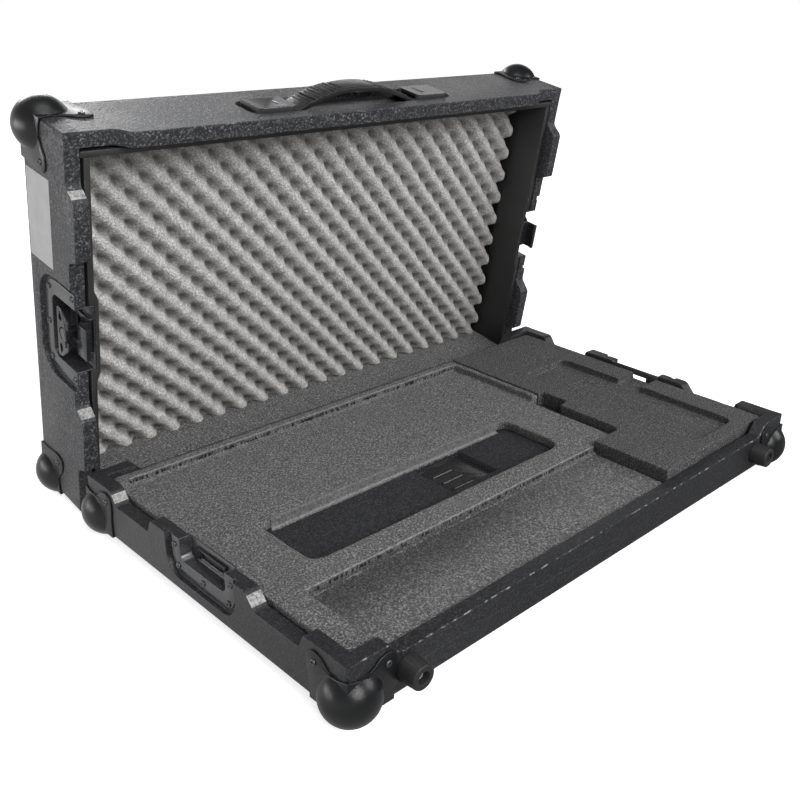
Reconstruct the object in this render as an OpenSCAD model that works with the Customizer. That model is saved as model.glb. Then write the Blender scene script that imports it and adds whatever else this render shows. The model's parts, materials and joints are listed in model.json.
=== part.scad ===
// Guitar pedal case: a flat base tray with cut foam, and a deep lift-off lid
// that stands on its long edge behind it.  Millimetres, +Z up.  The origin is
// on the floor, under the middle of the whole object.
//
// Both halves are drawn as open trays that lie on their outer face: X to the
// right, Y to the back, Z from the outer face up to the rim.  The lid's tray
// is then stood up on its long edge.

/* [Case] */
// Width of both trays
case_w = 680; // [600:1:760]
// Depth of both trays
case_d = 410; // [390:1:460]
// Height of the base from its underside to the high stretches of its rim
base_h = 52; // [49:1:64]
// Height of the lid from its outer face to the low stretches of its rim
lid_h = 80; // [74:1:110]
// Thickness of the outer walls
wall_t = 15; // [12:0.5:16]
// Thickness of the base's floor board
floor_t = 6; // [5.5:0.5:9]
// Thickness of the lid's panel
panel_t = 9; // [6:0.5:12]
// Radius of the walls' upright outer corners
wall_round = 3; // [1:0.5:4]

/* [Rim teeth] */
// Height of the teeth of both rims
tooth = 14; // [8:0.5:16]
// Length of the high stretch at the front end of a base side
tooth_front = 55; // [52:1:70]
// Length of the high stretch at the back end of a base side
tooth_back = 48; // [47:1:60]
// From the middle of a side to the front end of its middle high stretch
tooth_mid_front = 71; // [64:1:76]
// From the middle of a side to the back end of its middle high stretch
tooth_mid_back = 82; // [64:1:88]
// Run of the steep flanks
step_run = 6; // [4:0.5:8]
// Run of the worn slope in front of the middle stretch
slope_front = 13; // [8:0.5:15]
// Run of the worn slope behind the back gap
slope_back = 10; // [8:0.5:13]
// Width of a high stretch at the ends of the base's front wall
tooth_corner_front = 42; // [40:1:60]
// Width of a high stretch at the ends of the base's back wall
tooth_corner_back = 46; // [40:1:60]
// Run of the slopes on the front and back walls
slope_end = 12; // [8:0.5:16]
// Softening of the tooth corners
rim_round = 4; // [2:0.5:4]
// Play between the flanks of the two rims
tooth_play = 0.8; // [0.5:0.1:1.5]

/* [Ball corners] */
// Radius of a ball corner
ball_r = 26.5; // [24:0.5:27]
// How far the ball's centre lies inside each face
ball_inset = 13; // [12:0.5:14]
// Thickness of a corner's leaves
leaf_t = 1.8; // [1.2:0.1:2.5]
// Reach of a leaf along the edges of the outer face
leaf_reach = 46; // [44:0.5:47]
// Reach of a leaf along the edge between two walls
leaf_rise = 39; // [36:0.5:42]

/* [Screws] */
// Head radius of the wood screws
screw_head = 3.2; // [2.8:0.1:3.5]
// Head height of the wood screws
screw_head_h = 1.5; // [1:0.1:2]
// Shank radius of the wood screws
screw_shank = 1.5; // [1.2:0.1:1.8]
// Length of the screws in the walls
screw_long = 9; // [6:0.5:10]
// Length of the screws in the boards
screw_short = 5; // [3:0.5:5]
// Play round a screw in its hole
screw_play = 0.05; // [0.03:0.01:0.1]

/* [Rubber feet] */
// From the end of the front wall to a foot's axis
foot_in = 61; // [61:1:100]
// Height of a foot's axis above the base's underside
foot_z = 20.5; // [16:0.5:22]
// Radius of a foot at the wall
foot_r = 12.7; // [10:0.1:12.8]
// Radius of a foot at its end
foot_tip_r = 11.5; // [9.5:0.1:12]
// How far a foot stands out of the wall
foot_l = 20; // [16:0.5:26]
// Radius of the foot's recess
foot_recess_r = 6; // [5.5:0.1:7]
// Depth of the foot's recess
foot_recess = 9; // [6:0.5:12]
// Thickness of the washer in the foot
washer_t = 1.2; // [0.8:0.1:2]

/* [Latch dishes] */
// Half width of the dishes' flanges
flange_half = 50; // [48:0.5:52]
// Height of the base dish's flange
base_flange = 36; // [34:0.5:37]
// Height of the lid dish's flange
lid_flange = 60; // [58:0.5:62]
// How deep the flanges lie in the side faces
flange_in = 3.5; // [3:0.1:4.5]
// Thickness of the dishes' sheet steel
sheet = 1.4; // [1:0.1:1.5]
// Half width of the base dish's mouth
base_mouth = 36; // [32:0.5:37]
// Height of the base dish's mouth
base_mouth_h = 22; // [20:0.5:23]
// Half width of the lid dish's mouth
lid_mouth = 34; // [33:0.5:36]
// Height of the lid dish's mouth
lid_mouth_h = 46; // [45:0.5:47]
// Margin of the wall's pocket round a flange
pocket_gap = 5; // [3:0.5:5]
// Play of the wall's opening round a dish
dish_play = 0.4; // [0.3:0.1:0.8]

/* [Latch] */
// Depth of the latch's axis below the lid's rim
hub_v = 22; // [21:0.5:23]
// Radius of the latch's hub
hub_r = 6; // [5:0.1:6.3]
// Radius of the journal in the dish
journal_r = 4; // [3:0.1:4.5]
// Radius of the eccentric disc
disc_r = 9.8; // [9:0.1:10]
// Throw of the eccentric disc
throw = 4; // [3:0.1:4]
// Thickness of the hook's frame and of the disc
frame_t = 2.1; // [1.8:0.1:2.4]
// Half width of the hook
hook_half = 17; // [16.8:0.1:18]
// How far the hook stands out of the lid's rim
hook_out = 12; // [9:0.5:13]
// Half length of the wing
wing_half = 27; // [25:0.5:27]
// Height of the wing
wing_high = 21.5; // [20:0.5:22]
// Thickness of the wing
wing_t = 2; // [1.6:0.1:2.2]
// Radius of the wing's pin
pin_r = 1; // [0.9:0.05:1.1]
// Running clearance of the latch's round fits
run_fit = 0.05; // [0.03:0.01:0.08]
// Sliding clearance of the latch's flat fits
slide_fit = 0.3; // [0.2:0.05:0.35]

/* [Handle] */
// Half length of the handle's pocket
pocket_half = 140; // [136:1:150]
// Width of the handle's pocket
pocket_w = 43; // [41:0.5:44]
// From the low rim to the handle pocket
pocket_front = 4; // [3:0.5:6]
// Depth of the handle's pocket
pocket_d = 6; // [4:0.5:7]
// From the middle to an end cap
cap_in = 86; // [84:0.5:90]
// Length of an end cap
cap_l = 48; // [44:0.5:48]
// Width of an end cap
cap_w = 35; // [33:0.5:37]
// How far an end cap stands out of the face
cap_out = 4; // [4:0.5:8]
// Width of the grip
grip_w = 30; // [28:0.5:31]
// Thickness of the grip
grip_t = 4.7; // [4.2:0.1:6]
// Height of the arch's ends above the pocket's floor
arch_end = 5; // [4.6:0.1:6]
// Height of the grip's crest above the face
grip_high = 17.3; // [16:0.1:18]
// Half length of the grip's arch
grip_half = 79; // [76:0.5:80]
// Ribs on each side of the grip
grip_ribs = 9; // [5:1:12]
// Height of the ribs
rib_h = 1; // [0.6:0.1:1.5]
// Thickness of the steel strip in the grip
strip_t = 1.2; // [0.8:0.1:1.6]

/* [Foam of the base] */
// Top of the foam's highest level above the underside
foam_high = 48; // [46:0.5:50]
// Depth of the board recess below the highest level
board_deep = 7; // [4:0.5:9]
// Depth of the front shelf below the board recess
shelf_deep = 7; // [4:0.5:9]
// Depth of the long slot below the board recess
slot_deep = 12; // [10:0.5:14]
// Depth of the side recess below the highest level
side_deep = 8; // [6:0.5:12]
// Width of the foam to the right of the board recess
side_w = 165; // [160:1:172]
// Width of the back border
back_border = 14; // [10:0.5:24]
// Depth of the front shelf from the foam's front edge
shelf_d = 97; // [90:1:104]
// Width of the border at the left of the shelf
shelf_border = 31; // [20:1:40]
// Length of the long slot
slot_l = 351; // [330:1:360]
// Width of the long slot
slot_w = 85; // [76:1:90]
// From the long slot to the right end of the board recess
slot_in = 66; // [60:1:80]
// From the shelf's step to the long slot
slot_up = 31; // [20:1:40]
// Width of the side recess
recess_w = 82; // [70:1:90]
// Border at the right of the side recess
recess_border = 36; // [28:1:44]
// From the foam's front edge to the side recess
recess_front = 20; // [12:1:30]
// Length of the side recess
recess_l = 259; // [240:1:270]
// Play between the foam and the walls
foam_play = 2; // [1.8:0.1:3]

/* [Lid lining] */
// Thickness of the lid's side and top liners
liner_t = 9; // [8.8:0.1:10]
// Width of the groove between a liner and its wall at the rim
groove_w = 3; // [2:0.5:4]
// Depth of that groove
groove_d = 12; // [8:0.5:16]
// Thickness of the flat foam on the lid's lower wall
lining_t = 15; // [10:0.5:18]
// Thickness of the egg-crate foam at its hollows
egg_low = 10; // [6:0.5:12]
// Height of the egg-crate foam's bumps
egg_bump = 15; // [8:0.5:16]
// Egg-crate cells across the lid
egg_nx = 40; // [30:2:44]
// Egg-crate cells up the lid
egg_ny = 22; // [16:2:26]

/* [Standing lid] */
// Floor gap between the base's ball corners and the lid
stand_gap = 10; // [8:0.5:30]
// How far the lid stands off to the right
lid_shift = 4.3; // [0:0.1:10]

/* [Hidden] */
$fn = 48;
CORNERS = [["front_left", 0, 0], ["front_right", 1, 0], ["back_left", 0, 1], ["back_right", 1, 1]];
paint = "#4a4c50";
foam_grey = "#5d5b5a";
foam_dark = "#38383a";
egg_grey = "#9d9a96";
steel_black = "#2b2c2f";
rubber_black = "#3a3b3d";
eps = 0.01;
half_w = case_w / 2;
half_d = case_d / 2;
in_w = half_w - wall_t;
in_d = half_d - wall_t;
foot_x = half_w - foot_in;

// How the lid stands: on the lower edge of its tongue and on its two lower balls
ball_proud = ball_r - ball_inset;
stand_span = lid_h + tooth - ball_inset;
lid_lean = asin(ball_r / norm([stand_span, ball_inset])) - atan2(ball_inset, stand_span);
lid_y0 = half_d + ball_proud + stand_gap + tooth * cos(lid_lean);
lid_z0 = -ball_proud + tooth * sin(lid_lean);
rear_y = lid_y0 + (lid_h - ball_inset) * cos(lid_lean) - ball_inset * sin(lid_lean) + ball_r;
mid_y = (rear_y - half_d - foot_l) / 2;

// Latch levels, from the side's outer face inwards
pocket_in = flange_in + sheet;
base_back = wall_t;
lid_back = wall_t + liner_t - slide_fit - sheet;
frame_w = lid_back - slide_fit - frame_t;
tongue_w = 8;
tongue_t = 2.6;
wing_w = 1.2;
pin_w = wing_w + wing_t / 2;
pin_s = 5.5;
lug_half = 6.5;
slot_half = 6.9;
knuckle_l = 4.8;
knuckle_r = 2;
bar_w = 2.9;
frame_half = disc_r + throw + slide_fit;
yoke_play = 1.1;

// ---------------------------------------------------------------- outlines

// Quadratic curve that replaces the corner b between a and c
function corner_curve(a, b, c, r, n) =
    let (p = b + (a - b) / norm(a - b) * r, q = b + (c - b) / norm(c - b) * r)
    [for (i = [0 : n]) let (s = i / n) (1 - s) * (1 - s) * p + 2 * s * (1 - s) * b + s * s * q];

// Closed outline of the points [x, y, softening]
function soft_outline(pts, n = 5) =
    let (m = len(pts))
    [for (i = [0 : m - 1])
        let (a = pts[(i + m - 1) % m], b = pts[i], c = pts[(i + 1) % m])
        each (b[2] == 0 ? [[b[0], b[1]]]
            : corner_curve([a[0], a[1]], [b[0], b[1]], [c[0], c[1]], b[2], n))];

// Cubic curve through p to q with the handles a and b
function cubic(p, a, b, q, n) =
    [for (i = [0 : n]) let (s = i / n, k = 1 - s)
        k * k * k * p + 3 * k * k * s * a + 3 * k * s * s * b + s * s * s * q];

// Arc of an angle range, both ends included
function arc(c, r, a0, a1, n) =
    [for (i = [0 : n]) let (a = a0 + (a1 - a0) * i / n) [c[0] + r * cos(a), c[1] + r * sin(a)]];

// Rectangle with round corners, from its low corner
module round_rect(x0, y0, x1, y1, r) {
    translate([x0 + r, y0]) square([x1 - x0 - 2 * r, y1 - y0]);
    translate([x0, y0 + r]) square([x1 - x0, y1 - y0 - 2 * r]);
    for (x = [x0 + r, x1 - r], y = [y0 + r, y1 - r]) translate([x, y]) circle(r);
}

// Tab that hangs from a rim, with two round lower corners and a rise above it
module tab(half, deep, r, rise = 0) {
    translate([-half, r - deep]) square([2 * half, deep - r + rise]);
    translate([r - half, -deep]) square([2 * (half - r), r + eps]);
    for (s = [-1, 1]) translate([s * (half - r), r - deep]) circle(r);
}

// ---------------------------------------------------------------- frames

// The base where it lies
module on_floor() {
    translate([-lid_shift / 2, -mid_y, ball_proud]) children();
}

// The lid's tray, stood up behind the base
module stood_up() {
    on_floor()
        translate([lid_shift, lid_y0, lid_z0])
            rotate([lid_lean + 90, 0, 0])
                translate([0, half_d, -lid_h]) children();
}

// Left side face: X along the side, Y up from the rim, Z into the case
module on_left(rim) {
    translate([-half_w, 0, rim]) rotate([90, 0, 90]) children();
}

// One of the two sides
module on_side(rim, right) {
    mirror([right, 0, 0]) on_left(rim) children();
}

// A corner of a tray, with the case in the positive octant
module at_corner(right, back) {
    mirror([right, 0, 0]) mirror([0, back, 0]) translate([-half_w, -half_d, 0]) children();
}

// ---------------------------------------------------------------- screws

// Screw whose seat is at z = 0 and whose shank runs up
module screw(l) {
    rotate_extrude()
        polygon([[0, -screw_head_h], [screw_head * 0.6, -screw_head_h], [screw_head, -screw_head_h * 0.4],
            [screw_head, 0], [screw_shank, 0], [screw_shank, l], [0, l]]);
}

// Hole for that shank, which starts above the seat
module screw_hole(l) {
    translate([0, 0, -1]) cylinder(r = screw_shank + screw_play, h = l + 1.5);
}

// The three places of a corner's screws: side leaf, front leaf and board leaf
lobe = [39.5, 36.5];
lobe_r = 10;
module corner_places() {
    translate([-leaf_t, lobe[0], lobe[1]]) rotate([0, 90, 0]) children(0);
    translate([lobe[0], -leaf_t, lobe[1]]) rotate([-90, 0, 0]) children(0);
    translate([lobe[0], lobe[0], -leaf_t]) children(1);
}

module corner_screws() {
    color(steel_black)
        for (c = CORNERS) at_corner(c[1], c[2]) corner_places() {
            screw(screw_long);
            screw(screw_short);
        }
}

module corner_holes() {
    for (c = CORNERS) at_corner(c[1], c[2]) corner_places() {
        screw_hole(screw_long);
        screw_hole(screw_short);
    }
}

// ---------------------------------------------------------------- walls

// Rim line of a side wall; level a on the base's high stretches, b on its low ones
function side_rim(a, b, play) =
    [[-half_d, a, 0],
    [tooth_front - half_d + play, a, rim_round * 0.6],
    [tooth_front - half_d + step_run + play, b, rim_round * 0.6],
    [-tooth_mid_front - slope_front - play, b, rim_round],
    [-tooth_mid_front - play, a, rim_round],
    [tooth_mid_back + play, a, rim_round * 0.6],
    [tooth_mid_back + step_run + play, b, rim_round * 0.6],
    [half_d - tooth_back - slope_back - play, b, rim_round],
    [half_d - tooth_back - play, a, rim_round],
    [half_d, a, 0]];

// Rim line of a front or back wall, between the side walls
function end_rim(a, b, width, play) =
    [[-in_w, a, 0],
    [width - half_w + play, a, rim_round],
    [width + slope_end - half_w + play, b, rim_round],
    [half_w - width - slope_end - play, b, rim_round],
    [half_w - width - play, a, rim_round],
    [in_w, a, 0]];

// Outline of a wall under its rim line
function wall_outline(rim) =
    soft_outline(concat(rim, [[rim[len(rim) - 1][0], 0, 0], [rim[0][0], 0, 0]]));

// A side wall with its round upright corners
module side_board(rim) {
    intersection() {
        translate([-half_w, 0, 0]) rotate([90, 0, 90])
            linear_extrude(wall_t) polygon(wall_outline(rim));
        linear_extrude(lid_h + tooth + base_h)
            round_rect(-half_w, -half_d, half_w, half_d, wall_round);
    }
}

// A front wall; the back wall is its mirror image
module end_board(rim) {
    translate([0, wall_t - half_d, 0]) rotate([90, 0, 0])
        linear_extrude(wall_t) polygon(wall_outline(rim));
}

// Pocket and opening in a side wall for a latch dish, from the side's outer face
module dish_cut(flange, mouth, mouth_h, mouth_r) {
    translate([0, 0, -1]) linear_extrude(pocket_in + 1)
        tab(flange_half + pocket_gap, flange + pocket_gap, flange_r(flange) + pocket_gap, tooth);
    translate([0, 0, -1]) linear_extrude(wall_t + 2)
        tab(mouth + sheet + dish_play, mouth_h + sheet + dish_play, mouth_r + sheet + dish_play, tooth);
}

// Corner radius of a dish's flange
function flange_r(flange) = flange * 0.32 + 4;

// ---------------------------------------------------------------- base shell

module base_floor() {
    color(paint) difference() {
        translate([-in_w, -in_d, 0]) cube([2 * in_w, 2 * in_d, floor_t]);
        corner_holes();
    }
}

module base_front_wall() {
    color(paint) difference() {
        end_board(end_rim(base_h, base_h - tooth, tooth_corner_front, 0));
        corner_holes();
        foot_places() translate([0, 0, -1]) cylinder(r = foot_bolt_r + screw_play, h = foot_bolt + 1.5);
    }
}

module base_back_wall() {
    color(paint) difference() {
        mirror([0, 1, 0]) end_board(end_rim(base_h, base_h - tooth, tooth_corner_back, 0));
        corner_holes();
    }
}

module base_side_wall(right) {
    color(paint) difference() {
        mirror([right, 0, 0]) side_board(side_rim(base_h, base_h - tooth, 0));
        corner_holes();
        on_side(base_h, right) dish_cut(base_flange, base_mouth, base_mouth_h, base_mouth_r);
        on_side(base_h, right) base_dish_places() screw_hole(screw_long);
    }
}

// ---------------------------------------------------------------- ball corners

// Leaf that reaches a along one edge and b along the other
function leaf_outline(a, b) =
    concat([[-leaf_t, -leaf_t]], [[a, -leaf_t]],
        cubic([a, 0], [a, 12], [a + 1, 19], [lobe[0] + lobe_r, lobe[1] - 4], 5),
        arc(lobe, lobe_r, -8, 98, 8),
        cubic([lobe[0] - 8, lobe[1] + 8], [24, 40], [20, 30], [0, b], 8),
        [[-leaf_t, b]]);

// Leaf on the outer face, alike along both edges
function board_leaf_outline(a) =
    concat([[-leaf_t, -leaf_t]], [[a, -leaf_t]],
        cubic([a, 0], [a, 12], [a + 1, 22], [lobe[0] + lobe_r, lobe[0] - 2], 5),
        arc([lobe[0], lobe[0]], lobe_r, 0, 90, 8),
        cubic([lobe[0] - 2, lobe[0] + lobe_r], [22, a + 1], [12, a], [0, a], 5),
        [[-leaf_t, a]]);

module ball_corner() {
    color(steel_black) difference() {
        union() {
            translate([ball_inset, ball_inset, ball_inset]) sphere(ball_r, $fn = 64);
            translate([-leaf_t, 0, 0]) rotate([90, 0, 90])
                linear_extrude(leaf_t) polygon(leaf_outline(leaf_reach, leaf_rise));
            rotate([90, 0, 0])
                linear_extrude(leaf_t) polygon(leaf_outline(leaf_reach, leaf_rise));
            translate([0, 0, -leaf_t])
                linear_extrude(leaf_t) polygon(board_leaf_outline(leaf_reach));
        }
        cube(3 * ball_r);
        corner_places() {
            screw_hole(screw_long);
            screw_hole(screw_short);
        }
    }
}

// ---------------------------------------------------------------- rubber feet

foot_bolt = 10;
foot_bolt_r = 2.2;
foot_head_r = 4;
foot_head_h = 2.4;

// Feet on the front wall: Z runs from the wall's face into the wall
module foot_places() {
    for (s = [-1, 1]) translate([s * foot_x, -half_d, foot_z]) rotate([-90, 0, 0]) children();
}

module rubber_foot(side) {
    color(rubber_black)
        translate([side * foot_x, -half_d, foot_z]) rotate([-90, 0, 0]) rotate_extrude()
            polygon(concat([[foot_bolt_r + screw_play, 0], [foot_r, 0]],
                arc([foot_tip_r - 1.5, 1.5 - foot_l], 1.5, 0, -90, 4),
                [[foot_recess_r, -foot_l], [foot_recess_r, foot_recess - foot_l],
                [foot_bolt_r + screw_play, foot_recess - foot_l]]));
}

module foot_washers() {
    color("#8c8c8c") foot_places() translate([0, 0, foot_recess - foot_l - washer_t])
        difference() {
            cylinder(r = foot_recess_r - 0.3, h = washer_t);
            translate([0, 0, -1]) cylinder(r = foot_bolt_r + screw_play, h = washer_t + 2);
        }
}

module foot_screws() {
    color(steel_black) foot_places() {
        seat = foot_recess - foot_l - washer_t;
        translate([0, 0, seat - foot_head_h]) difference() {
            cylinder(r = foot_head_r, h = foot_head_h);
            translate([0, 0, -1]) cylinder(r = 1.6, h = 2.4, $fn = 6);
        }
        translate([0, 0, seat]) cylinder(r = foot_bolt_r, h = foot_bolt - seat);
    }
}

// ---------------------------------------------------------------- latch dishes

base_mouth_r = 7;
lid_mouth_r = 9;
keeper_slot = [19, 8.5, 17];

// Screws of a dish, in the side's frame at its flange
module base_dish_places() {
    low = base_flange - (base_flange - base_mouth_h - sheet) / 2;
    high = flange_half - 5;
    wide = flange_half - 9.5;
    for (p = [[-high, -base_flange / 4], [high, -base_flange / 4], [-wide, 6 - base_flange],
        [wide, 6 - base_flange], [0, -low]])
        translate([p[0], p[1], flange_in]) children();
}

module lid_dish_places() {
    low = lid_flange - (lid_flange - lid_mouth_h - sheet) / 2;
    high = flange_half - 6;
    wide = flange_half - 11;
    for (p = [[-high, -lid_flange / 12], [high, -lid_flange / 12], [-wide, 9 - lid_flange],
        [wide, 9 - lid_flange], [0, -low]])
        translate([p[0], p[1], flange_in]) children();
}

// Pressed dish: flange and pan, open at the rim
module dish(flange, mouth, mouth_h, mouth_r, back) {
    difference() {
        union() {
            translate([0, 0, flange_in]) linear_extrude(sheet)
                tab(flange_half, flange, flange_r(flange));
            translate([0, 0, flange_in]) linear_extrude(back + sheet - flange_in)
                tab(mouth + sheet, mouth_h + sheet, mouth_r + sheet);
        }
        translate([0, 0, flange_in - 1]) linear_extrude(back - flange_in + 1)
            tab(mouth, mouth_h, mouth_r, 1);
    }
}

module base_dish(right) {
    color(steel_black) on_side(base_h, right) difference() {
        dish(base_flange, base_mouth, base_mouth_h, base_mouth_r, base_back);
        translate([-keeper_slot[0], -keeper_slot[2], base_back - 1])
            cube([2 * keeper_slot[0], keeper_slot[2] - keeper_slot[1], sheet + 2]);
        base_dish_places() screw_hole(screw_long);
    }
}

// Bar over the dish's slot that the hook catches under
module keeper(right) {
    bar = 2.6;
    ear = 4;
    ear_t = 1.4;
    color("#3c3d40") on_side(base_h, right) {
        translate([-keeper_slot[0] - ear, -keeper_slot[1] - eps, base_back - bar])
            cube([2 * (keeper_slot[0] + ear), bar, bar]);
        for (s = [0, 1]) mirror([s, 0, 0])
            translate([keeper_slot[0], -keeper_slot[2] - 1, base_back - ear_t])
                cube([ear, keeper_slot[2] - keeper_slot[1] + 1.5, ear_t]);
    }
}

// Lid dish, with the journal's bore and the rails that guide the hook
module lid_dish(right) {
    rail = 2.5;
    rail_in = hook_half + slide_fit;
    rail_low = throw + frame_end + 2;
    color(steel_black) on_side(lid_h, right) {
        difference() {
            union() {
                dish(lid_flange, lid_mouth, lid_mouth_h, lid_mouth_r, lid_back);
                for (s = [0, 1]) mirror([s, 0, 0]) translate([rail_in, -hub_v - rail_low, 0]) {
                    translate([0, 0, frame_w - 0.9])
                        cube([rail, rail_low + hub_v - 3, lid_back - frame_w + 0.9 + eps]);
                    translate([-2, 0, frame_w - 0.9])
                        cube([2 + eps, rail_low + 5, 0.9 - slide_fit]);
                }
            }
            translate([0, -hub_v, frame_w]) cylinder(r = journal_r + run_fit, h = 10);
            lid_dish_places() screw_hole(screw_long);
        }
    }
}

module dish_screws(rim, lid) {
    color(steel_black) for (right = [0, 1]) on_side(rim, right)
        if (lid) lid_dish_places() screw(screw_long);
        else base_dish_places() screw(screw_long);
}

// ---------------------------------------------------------------- latches

// Half height of the hook's window, and from its middle to the frame's ends
window_half = disc_r + yoke_play;
frame_end = window_half + 4.1;

// Hub of a latch: X along the side, Y towards the rim, Z into the case
module at_hub(right) {
    on_side(lid_h, right) translate([0, -hub_v, 0]) children();
}

// Journal, eccentric disc, hub, head with its lug, and the wing's cross pin
module latch_cam(right) {
    color(steel_black) at_hub(right) {
        translate([0, 0, frame_w]) cylinder(r = journal_r, h = lid_back + sheet - frame_w);
        translate([0, throw, frame_w]) cylinder(r = disc_r, h = frame_t);
        translate([0, 0, 5]) cylinder(r = hub_r, h = frame_w - 5 + eps);
        translate([0, 0, wing_w]) cylinder(r = hub_r - 0.5, h = 5);
        translate([-lug_half, 0, 0.6]) cube([2 * lug_half, pin_s + 2, 6.4]);
        translate([0, pin_s, pin_w]) rotate([0, 90, 0])
            cylinder(r = pin_r, h = 2 * (slot_half + knuckle_l), center = true, $fn = 24);
    }
}

// Wing plate with its open slot for the hub, finger holes and knuckles
module latch_wing(right) {
    top = wing_high / 2;
    color("#4b4d52") at_hub(right) difference() {
        union() {
            translate([0, 0, wing_w]) linear_extrude(wing_t) difference() {
                polygon(soft_outline([[-wing_half, -top, 4], [wing_half, -top, 4], [wing_half, -3, 3],
                    [15, top, 3], [-15, top, 3], [-wing_half, -3, 3]]));
                circle(slot_half);
                translate([-slot_half, 0]) square([2 * slot_half, wing_high]);
                for (s = [0, 1]) mirror([s, 0, 0]) finger_hole();
            }
            for (s = [0, 1]) mirror([s, 0, 0])
                translate([slot_half, pin_s, pin_w]) rotate([0, 90, 0])
                    cylinder(r = knuckle_r, h = knuckle_l + 1, $fn = 32);
        }
        translate([0, pin_s, pin_w]) rotate([0, 90, 0])
            cylinder(r = pin_r + run_fit, h = 2 * (slot_half + knuckle_l) + 0.2, center = true, $fn = 24);
    }
}

// Drop-shaped hole near a wing's end
module finger_hole() {
    translate([15.5, -4]) circle(3);
    polygon([[16.5, -6.9], [22.5, -4.6], [22.5, -3.4], [16.5, -1.1]]);
}

// Sliding hook: a frame round the disc, a riser and the tongue with its lip
module latch_hook(right) {
    riser = 3;
    rise_y = throw + frame_end - riser;
    tip = hub_v + hook_out;
    lip = 2.5;
    color("#34353a") at_hub(right) {
        translate([0, throw, frame_w]) linear_extrude(frame_t) difference() {
            translate([-hook_half, -frame_end]) square([2 * hook_half, 2 * frame_end]);
            translate([-frame_half, -window_half]) square([2 * frame_half, 2 * window_half]);
        }
        translate([-hook_half, rise_y, tongue_w])
            cube([2 * hook_half, riser, frame_w + frame_t - tongue_w]);
        translate([-hook_half, rise_y, tongue_w]) cube([2 * hook_half, tip - rise_y, tongue_t]);
        translate([-hook_half, tip - lip, tongue_w]) cube([2 * hook_half, lip, tongue_t + 2.2]);
    }
}

// ---------------------------------------------------------------- base foam

board_z = foam_high - board_deep;
shelf_z = board_z - shelf_deep;
slot_z = board_z - slot_deep;
foam_w = in_w - foam_play;
foam_back = in_d - foam_play;
foam_front = -in_d + foam_play;
strip_x = foam_w - side_w;
seam_x = strip_x + 11;
block_x = strip_x + 6;
block_front_x = strip_x - 42;
shelf_y = foam_front + shelf_d;
shelf_left = shelf_border - foam_w;
board_back = foam_back - back_border;
slot_x1 = strip_x - slot_in;
slot_y0 = shelf_y + slot_up;
seam_y = slot_y0 + 98;
recess_x1 = foam_w - recess_border;
recess_y0 = foam_front + recess_front;
seam = 1.5;
pad_box = [slot_x1 - 154, slot_y0 + 20, slot_x1 - 82, slot_y0 + slot_w - 5];
pad_deep = 7;

module foam_floor() {
    color(foam_dark) difference() {
        translate([-foam_w, foam_front, floor_t])
            cube([2 * foam_w, foam_back - foam_front, slot_z - floor_t]);
        translate([pad_box[0], pad_box[1], slot_z - pad_deep])
            cube([pad_box[2] - pad_box[0], pad_box[3] - pad_box[1], pad_deep + 1]);
    }
}

// Main block: back and right borders at the high level, the board's recess with
// its slot, and the front shelf
module foam_main() {
    color(foam_grey) difference() {
        translate([0, 0, slot_z]) linear_extrude(foam_high - slot_z)
            polygon(soft_outline([[-foam_w, foam_front, 0], [block_front_x - seam, foam_front, 0],
                [block_front_x - seam, shelf_y + 2 * seam, 0], [strip_x - 1, shelf_y + 2 * seam, 0],
                [strip_x - 1, seam_y - 2, 0], [seam_x - seam, seam_y - 2, 3], [seam_x - seam, foam_back, 0],
                [-foam_w, foam_back, 0]]));
        translate([0, 0, board_z]) linear_extrude(board_deep + 1)
            polygon([[-foam_w - 1, foam_front - 1], [strip_x, foam_front - 1], [strip_x, board_back],
                [12 - foam_w, board_back], [-foam_w - 1, board_back - 11]]);
        translate([shelf_left, foam_front - 1, shelf_z])
            cube([2 * foam_w, shelf_d + 1, foam_high]);
        translate([0, 0, slot_z - 1]) linear_extrude(foam_high)
            round_rect(slot_x1 - slot_l, slot_y0, slot_x1, slot_y0 + slot_w, 14);
    }
}

// Side block: the recess for a foot pedal, its notched border and the finger pocket
module foam_side() {
    left = seam_x + seam - 1;
    front_x = seam_x + 16;
    color(foam_grey) difference() {
        translate([0, 0, slot_z]) linear_extrude(foam_high - slot_z)
            polygon(soft_outline([[left, foam_back, 0], [left, seam_y, 2], [seam_x + 10, seam_y, 3],
                [seam_x + 11, seam_y - 37, 1], [block_x, seam_y - 40, 2], [block_x, shelf_y + 1, 8],
                [block_front_x, shelf_y + 1, 2], [block_front_x, foam_front, 0], [front_x, foam_front, 0],
                [front_x + 1, foam_front + 3, 0], [foam_w, foam_front + 3, 0], [foam_w, foam_back, 0]]));
        translate([0, 0, foam_high - side_deep]) linear_extrude(side_deep + 1) {
            round_rect(recess_x1 - recess_w, recess_y0, recess_x1, recess_y0 + recess_l, 12);
            translate([recess_x1 - 1, seam_y - 73]) square([recess_border + 2, 35]);
        }
    }
}

module ribbed_pad() {
    x0 = pad_box[0] + 0.3;
    y0 = pad_box[1] + 0.3;
    w = pad_box[2] - pad_box[0] - 0.6;
    l = pad_box[3] - pad_box[1] - 0.6;
    color("#17181a") translate([x0, y0, slot_z - pad_deep]) {
        cube([w, l, 2]);
        translate([0, l - 3, 0]) cube([w, 3, 5]);
        for (i = [0 : 2]) translate([w * 0.14, l * (0.12 + 0.27 * i), 2])
            rotate([0, 90, 0]) cylinder(r = 2, h = w * 0.4, $fn = 24);
    }
}

// ---------------------------------------------------------------- lid shell

module lid_panel() {
    color(paint) difference() {
        translate([-in_w, -in_d, 0]) cube([2 * in_w, 2 * in_d, panel_t]);
        corner_holes();
    }
}

module lid_bottom_wall() {
    color(paint) difference() {
        end_board(end_rim(lid_h, lid_h + tooth, tooth_corner_front, tooth_play));
        corner_holes();
    }
}

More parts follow.
